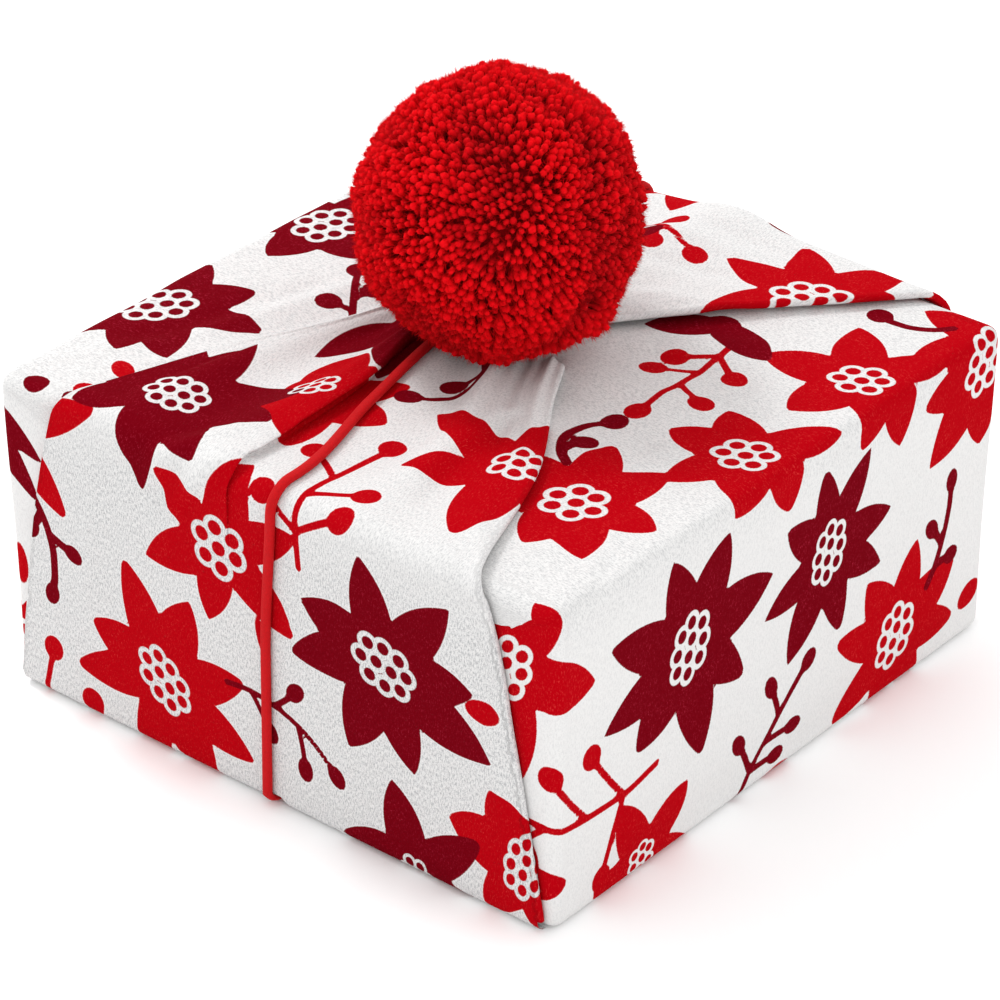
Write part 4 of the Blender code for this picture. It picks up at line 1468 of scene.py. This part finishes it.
@dataclass
class ElasticBand:
    """The flattened elastic round the wrap, under the pompom.

    Attributes:
        front: The flap in front, which carries its first half.
        back: The flap behind.
        width: Its width, in metres.
        height: Its thickness.
        floor_height: Its thickness under the box.
        gap: Its clearance from the cloth.
        sides: Faces round it.
        finish: What it is made of.
    """

    front: Flap
    back: Flap
    width: float = 0.0032
    height: float = 0.0022
    floor_height: float = 0.0014
    gap: float = 0.0002
    sides: int = 14
    finish: VelvetElastic = field(default_factory=VelvetElastic)

    def half(self, flap: Flap) -> tuple[Array, Array, Array]:
        """Centres, normals and thicknesses on one flap, from the floor to the pompom."""
        distance = flap.rows()
        across, lift = flap.lines(distance)
        column = next(i for i, crease in enumerate(flap.creases) if crease.name == "band")
        _, normal, _ = flap.path(distance)
        rise = np.clip(distance / flap.foot_length, 0, 1)
        height = self.floor_height + (self.height - self.floor_height) * rise
        centre = flap.raise_points(across[:, column], distance, lift[:, column] + self.gap + height / 2)
        up = np.stack([np.zeros(len(distance)), flap.side.value * normal[:, 0], normal[:, 1]], axis=-1)
        return SIZES.lean(centre), up, height

    def build(self) -> bpy.types.Object:
        """Sweep the flattened section round the loop.

        Returns:
            The band.
        """
        front, front_up, front_height = (part[::-1] for part in self.half(self.front))
        back, back_up, back_height = self.half(self.back)
        shares = np.linspace(0, 1, 40)[1:-1, None]
        under = front[-1] + (back[0] - front[-1]) * shares
        centres = np.concatenate([front, under, back])
        ups = np.concatenate([front_up, np.repeat(front_up[-1:], len(under), 0), back_up])
        heights = np.concatenate([front_height, np.full(len(under), self.floor_height), back_height])
        ahead = np.roll(centres, -1, axis=0) - np.roll(centres, 1, axis=0)
        across = np.cross(ahead, ups)
        across /= np.linalg.norm(across, axis=1, keepdims=True)
        up = np.cross(across, ahead)
        up /= np.linalg.norm(up, axis=1, keepdims=True)
        angles = 2 * math.pi * (np.arange(self.sides) + 0.5) / self.sides
        wide = self.width / 2 * np.sign(np.cos(angles)) * np.abs(np.cos(angles)) ** 0.85
        high = 0.5 * np.sign(np.sin(angles)) * np.abs(np.sin(angles)) ** 0.85
        rings = (
            centres[:, None]
            + across[:, None] * wide[None, :, None]
            + up[:, None] * (high[None, :] * heights[:, None])[..., None]
        )
        count = len(centres)
        first = np.arange(count)[:, None] * self.sides + np.arange(self.sides)[None, :]
        beside = np.roll(first, -1, axis=1)
        quads = np.stack([first, beside, np.roll(beside, -1, axis=0), np.roll(first, -1, axis=0)], axis=-1)
        data = bpy.data.meshes.new("band")
        data.from_pydata(rings.reshape(-1, 3).tolist(), [], quads.reshape(-1, 4).tolist())
        mesh = bmesh.new()
        mesh.from_mesh(data)
        bmesh.ops.recalc_face_normals(mesh, faces=mesh.faces)
        mesh.to_mesh(data)
        mesh.free()
        data.shade_smooth()
        band = add_thing("elastic_loop", data, self.finish.build())
        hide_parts("elastic_band")
        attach(band, "root")
        LOG.info("band: %d faces", len(data.polygons))
        return band


@dataclass
class Pompom:
    """The ball of cut yarn: ends standing all round, seen end on in the middle.

    Attributes:
        centre: Its middle, in metres.
        radius: Reach of its longest yarn ends.
        core: Radius at which the yarn closes to a mass, dark with the yarn's painted depth shade.
        seat: Height of the cloth under it.
        ends: Number of yarn ends.
        yarn: Width of a yarn end.
        parts: Number of pieces that the ends are joined into.
        strands: Number of fine strands that fray out of each yarn end.
        strand: Width and length of a strand.
        tuft_size: Size of the tufts that lean together, as a share of the ball's radius.
        tuft_lean: How far a tuft leans aside.
        tuft_shift: How far it moves aside.
        tuft_rise: How far it stands out or in, in metres.
        short_ends: Usual shortfall of a yarn end.
        stray: Usual lean of one end on its own.
        width_share: Least and greatest width of an end, as a share of the usual one.
        end_length: Least and greatest length of an end.
        seed: Seed of its unevenness.
        finish: What it is made of.
    """

    centre: Vector = field(default_factory=lambda: Vector(BALL_MIDDLE))
    radius: float = 0.0432
    core: float = 0.0372
    seat: float = 0.1088
    ends: int = 4300
    yarn: float = 0.00225
    parts: int = 2
    strands: int = 12
    strand: Spot = (0.00034, 0.0030)
    tuft_size: float = 0.34
    tuft_lean: float = 0.36
    tuft_shift: float = 0.045
    tuft_rise: float = 0.0015
    short_ends: float = 0.0013
    stray: float = 0.12
    width_share: Spot = (0.72, 1.18)
    end_length: Spot = (0.0072, 0.0092)
    seed: int = 12
    finish: WoolYarn = field(default_factory=WoolYarn)

    def yarn_end(self) -> tuple[Array, list[list[int]]]:
        """Model one cut yarn end, standing on z = 0 and about one unit long and wide.

        Returns:
            Its points and faces.
        """
        deselect()
        bpy.ops.mesh.primitive_cylinder_add(vertices=6, radius=0.38, depth=1.0, location=(0, 0, 0.5))
        end = bpy.context.object
        bpy.ops.object.mode_set(mode="EDIT")
        bpy.ops.mesh.select_mode(type="FACE")
        bpy.ops.mesh.select_all(action="DESELECT")
        mesh = bmesh.from_edit_mesh(end.data)
        for face in mesh.faces:
            face.select = face.normal.z > 0.9
        bmesh.update_edit_mesh(end.data)
        bpy.ops.transform.resize(value=(1.28, 1.28, 1.0))
        bpy.ops.mesh.extrude_region_move(TRANSFORM_OT_translate={"value": (0, 0, 0.17)})
        bpy.ops.transform.resize(value=(0.82, 0.82, 1.0))
        bpy.ops.mesh.poke()
        mesh = bmesh.from_edit_mesh(end.data)
        bmesh.ops.delete(mesh, geom=[face for face in mesh.faces if face.normal.z < -0.9], context="FACES")
        for vert in mesh.verts:
            if len(vert.link_edges) == 6 and vert.co.z > 0.6:
                vert.co.z += 0.08
        bmesh.update_edit_mesh(end.data)
        bpy.ops.object.mode_set(mode="OBJECT")
        end.data.transform(end.matrix_world)
        points = np.array([vert.co[:] for vert in end.data.vertices])
        faces = [list(polygon.vertices) for polygon in end.data.polygons]
        bpy.data.objects.remove(end, do_unlink=True)
        return points, faces

    def directions(self, count: int, chance: np.random.Generator) -> Array:
        """Directions spread evenly over the ball, each nudged a little."""
        number = np.arange(count) + 0.5
        polar = np.arccos(1 - 2 * number / count)
        round_way = math.pi * (1 + math.sqrt(5)) * number
        towards = np.stack(
            [np.sin(polar) * np.cos(round_way), np.sin(polar) * np.sin(round_way), np.cos(polar)], axis=-1
        )
        towards += chance.normal(0, 0.010, towards.shape)
        return towards / np.linalg.norm(towards, axis=1, keepdims=True)

    def tufts(self, towards: Array, size: float, seed: int) -> Array:
        """A smooth three-way drift over the ball, by which neighbouring ends lean together."""
        flat = np.stack([towards[:, 0] + 0.7 * towards[:, 2], towards[:, 1] - 0.6 * towards[:, 2]], axis=-1)
        other = np.stack([towards[:, 1] + 0.8 * towards[:, 2], towards[:, 2] - 0.5 * towards[:, 0]], axis=-1)
        planes = (flat, other, flat + other)
        return np.stack([soft_noise(plane, size, seed + i) for i, plane in enumerate(planes)], axis=-1)

    def clear_seat(self, towards: Array, reach: Array) -> Array:
        """Shorten what would reach below the cloth under the ball."""
        down = towards[:, 2] < 0
        floor = np.where(down, (self.seat - self.centre.z) / np.where(down, towards[:, 2], -1.0), 9.0)
        return np.minimum(reach, floor)

    def build(self) -> list[bpy.types.Object]:
        """Stand the yarn ends and loose fibres all round the ball and join them.

        Returns:
            The pieces of the ball.
        """
        chance = np.random.default_rng(self.seed)
        shape, faces = self.yarn_end()
        towards = self.directions(self.ends, chance)
        drift = self.tufts(towards, self.tuft_size, 40)
        short = np.abs(chance.normal(0, self.short_ends, self.ends))
        reach = self.clear_seat(towards, self.radius + drift[:, 0] * self.tuft_rise - short)
        axis = towards + drift * self.tuft_lean + chance.normal(0, self.stray, (self.ends, 3))
        axis /= np.linalg.norm(axis, axis=1, keepdims=True)
        width = self.yarn * chance.uniform(*self.width_share, self.ends)
        length = chance.uniform(*self.end_length, self.ends)
        tips = np.array(self.centre) + (towards + drift * self.tuft_shift) * reach[:, None]
        points = self.stand(shape, tips, axis, width, length, chance, 0.16)
        material = self.finish.build()
        pieces = []
        for part in range(self.parts):
            pieces.append(self.piece(f"yarn_ends_{part + 1}", points[part :: self.parts], faces, material))
        pieces += self.frayed_strands(tips, axis, width, chance, material)
        pieces.append(self.heart(material))
        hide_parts("pompom")
        for piece in pieces:
            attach(piece, "root")
        return pieces

    def stand(
        self,
        shape: Array,
        tips: Array,
        axis: Array,
        width: Array,
        length: Array,
        chance: np.random.Generator,
        uneven: float,
    ) -> Array:
        """Copy a shape to many tips.

        Args:
            shape: Points of one copy, standing up to its top.
            tips: Where each copy's top goes.
            axis: Direction of each copy.
            width: Width of each copy.
            length: Length of each copy.
            chance: The source of unevenness.
            uneven: Spread of each point's distance from its copy's axis.

        Returns:
            The points, by copy.
        """
        count = len(tips)
        leaning = np.abs(axis[:, 2:]) < 0.9
        helper = np.where(leaning, np.array([[0.0, 0.0, 1.0]]), np.array([[1.0, 0.0, 0.0]]))
        side = np.cross(helper, axis)
        side /= np.linalg.norm(side, axis=1, keepdims=True)
        other = np.cross(axis, side)
        turn = chance.uniform(0, 2 * math.pi, count)[:, None]
        side, other = side * np.cos(turn) + other * np.sin(turn), other * np.cos(turn) - side * np.sin(turn)
        wide = width[:, None, None] * (1 + chance.normal(0, uneven, (count, len(shape), 1)))
        tall = shape[:, 2].max()
        return (
            tips[:, None]
            + side[:, None] * shape[None, :, :1] * wide
            + other[:, None] * shape[None, :, 1:2] * wide
            + axis[:, None] * (shape[None, :, 2:] - tall) / tall * length[:, None, None]
        )

    def frayed_strands(
        self,
        tips: Array,
        axis: Array,
        width: Array,
        chance: np.random.Generator,
        material: bpy.types.Material,
    ) -> list[bpy.types.Object]:
        """Model the fine strands that open out of each yarn end.

        Args:
            tips: Tips of the yarn ends.
            axis: Their directions.
            width: Their widths.
            chance: The source of unevenness.
            material: What they are made of.

        Returns:
            The strands, joined into as many pieces as the yarn ends.
        """
        owner = np.repeat(np.arange(self.ends), self.strands)
        count = len(owner)
        aside = chance.normal(0, 0.30, (count, 3))
        aside -= (aside * axis[owner]).sum(1, keepdims=True) * axis[owner]
        along = axis[owner] + 0.85 * aside + chance.normal(0, 0.08, (count, 3))
        along /= np.linalg.norm(along, axis=1, keepdims=True)
        length = self.strand[1] * chance.uniform(0.7, 1.2, count)
        starts = tips[owner] + aside * width[owner, None] * 0.9 - axis[owner] * 0.0022
        ends = starts + along * length[:, None]
        ends[:, 2] = np.maximum(ends[:, 2], self.seat + 0.0002)
        shape = np.array([[0.5, 0, 0], [-0.25, 0.43, 0], [-0.25, -0.43, 0], [0, 0, 1.0]])
        points = self.stand(shape, ends, along, np.full(count, self.strand[0]), length, chance, 0.0)
        faces = [[0, 1, 3], [1, 2, 3], [2, 0, 3]]
        return [
            self.piece(f"frayed_strands_{part + 1}", points[part :: self.parts], faces, material)
            for part in range(self.parts)
        ]

    def piece(
        self, name: str, points: Array, faces: list[list[int]], material: bpy.types.Material
    ) -> bpy.types.Object:
        """Join copies of one shape into an object of the ball."""
        offsets = np.arange(len(points)) * points.shape[1]
        joined = [[index + int(offset) for index in face] for offset in offsets for face in faces]
        data = bpy.data.meshes.new(name)
        data.from_pydata(points.reshape(-1, 3).tolist(), [], joined)
        data.shade_smooth()
        LOG.info("%s: %d faces", name, len(data.polygons))
        return add_thing(name, data, material)

    def heart(self, material: bpy.types.Material) -> bpy.types.Object:
        """The closed mass of yarn behind the ends, flattened where it sits on the cloth."""
        mesh = bmesh.new()
        bmesh.ops.create_icosphere(mesh, subdivisions=5, radius=self.core)
        low = self.seat - self.centre.z
        for vert in mesh.verts:
            bulge = soft_noise(np.array([[vert.co.x + vert.co.z, vert.co.y - vert.co.z]]) / MM, 2.4, 8)[0]
            vert.co *= 1 + 0.012 * bulge
            vert.co.z = max(vert.co.z, low)
            vert.co += self.centre
        data = bpy.data.meshes.new("yarn mass")
        mesh.to_mesh(data)
        mesh.free()
        data.shade_smooth()
        return add_thing("yarn_mass", data, material)


@dataclass
class Studio:
    """The pale floor, the soft lights and the camera.

    Attributes:
        azimuth: Degrees of the view to the right of -Y.
        elevation: Degrees of the view above the floor.
        distance: From the camera to its target, in metres.
        target: What the camera looks at.
        lens: Focal length in millimetres on a 36 mm sensor.
    """

    azimuth: float = 39.65
    elevation: float = 30.9
    distance: float = 1.295
    target: Vector = field(default_factory=lambda: Vector((-0.0013, -0.0005, 0.0518)))
    lens: float = 157.5

    def place_camera(self) -> None:
        """Put the camera where the photograph was taken from."""
        a, e = math.radians(self.azimuth), math.radians(self.elevation)
        back = Vector((math.sin(a) * math.cos(e), -math.cos(a) * math.cos(e), math.sin(e)))
        right = Vector((math.cos(a), math.sin(a), 0))
        up = back.cross(right)
        camera = add_thing("camera", bpy.data.cameras.new("camera"))
        camera.data.lens = self.lens
        camera.data.sensor_width = 36
        camera.data.clip_start = 0.05
        facing = Matrix((right, up, back)).transposed().to_4x4()
        camera.matrix_world = Matrix.Translation(self.target + back * self.distance) @ facing
        bpy.context.scene.camera = camera

    def add_light(self, name: str, place: tuple[float, float, float], size: float, power: float) -> None:
        """Add a square soft light that faces the wrap."""
        lamp = bpy.data.lights.new(name, "AREA")
        lamp.size, lamp.energy = size, power
        thing = add_thing(name, lamp)
        thing.location = place
        thing.rotation_euler = (self.target - Vector(place)).to_track_quat("-Z", "Y").to_euler()

    def build(self) -> None:
        """Set up the floor, the world, the lights and the camera."""
        deselect()
        bpy.ops.mesh.primitive_plane_add(size=6.0, location=(0, 0, -0.0004))
        floor = bpy.context.object
        floor.name = "studio_floor"
        paper, _, shader = blank_material("white paper sweep")
        shader.inputs["Base Color"].default_value = ink("#FFFFFF")
        shader.inputs["Roughness"].default_value = 0.9
        wear(floor, paper)
        world = bpy.data.worlds.new("studio")
        world.use_nodes = True
        world.node_tree.nodes["Background"].inputs["Color"].default_value = ink("#FFFFFF")
        world.node_tree.nodes["Background"].inputs["Strength"].default_value = 1.14
        bpy.context.scene.world = world
        bpy.context.scene.view_settings.view_transform = "Standard"
        self.add_light("key", (-1.0, 0.05, 1.35), 0.4, 11)
        self.add_light("fill", (1.5, -0.2, 1.1), 1.2, 2)
        self.place_camera()


def main() -> None:
    """Build the wrap and the studio, and report each piece."""
    logging.basicConfig(level=logging.INFO, format="%(name)s: %(message)s")
    front = Flap(Side.FRONT, FRONT_CREASES, FRONT_PRINT, FRONT_PUCKERS)
    back = Flap(Side.BACK, BACK_CREASES, BACK_PRINT, BACK_PUCKERS, step=0.0017)
    right = SidePanel(Hand.RIGHT, RIGHT_PRINT, RIGHT_PUCKERS)
    left = SidePanel(Hand.LEFT, LEFT_PRINT, LEFT_PUCKERS, step=0.0017)
    Studio().build()
    WrappingCloth((front, back), (right, left)).build()
    ElasticBand(front, back).build()
    Pompom().build()
    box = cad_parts["gift_box"]
    wear(box, CartonBoard().build())
    LOG.info("box: %d faces", len(box.data.polygons))


if __name__ == "__main__":
    main()
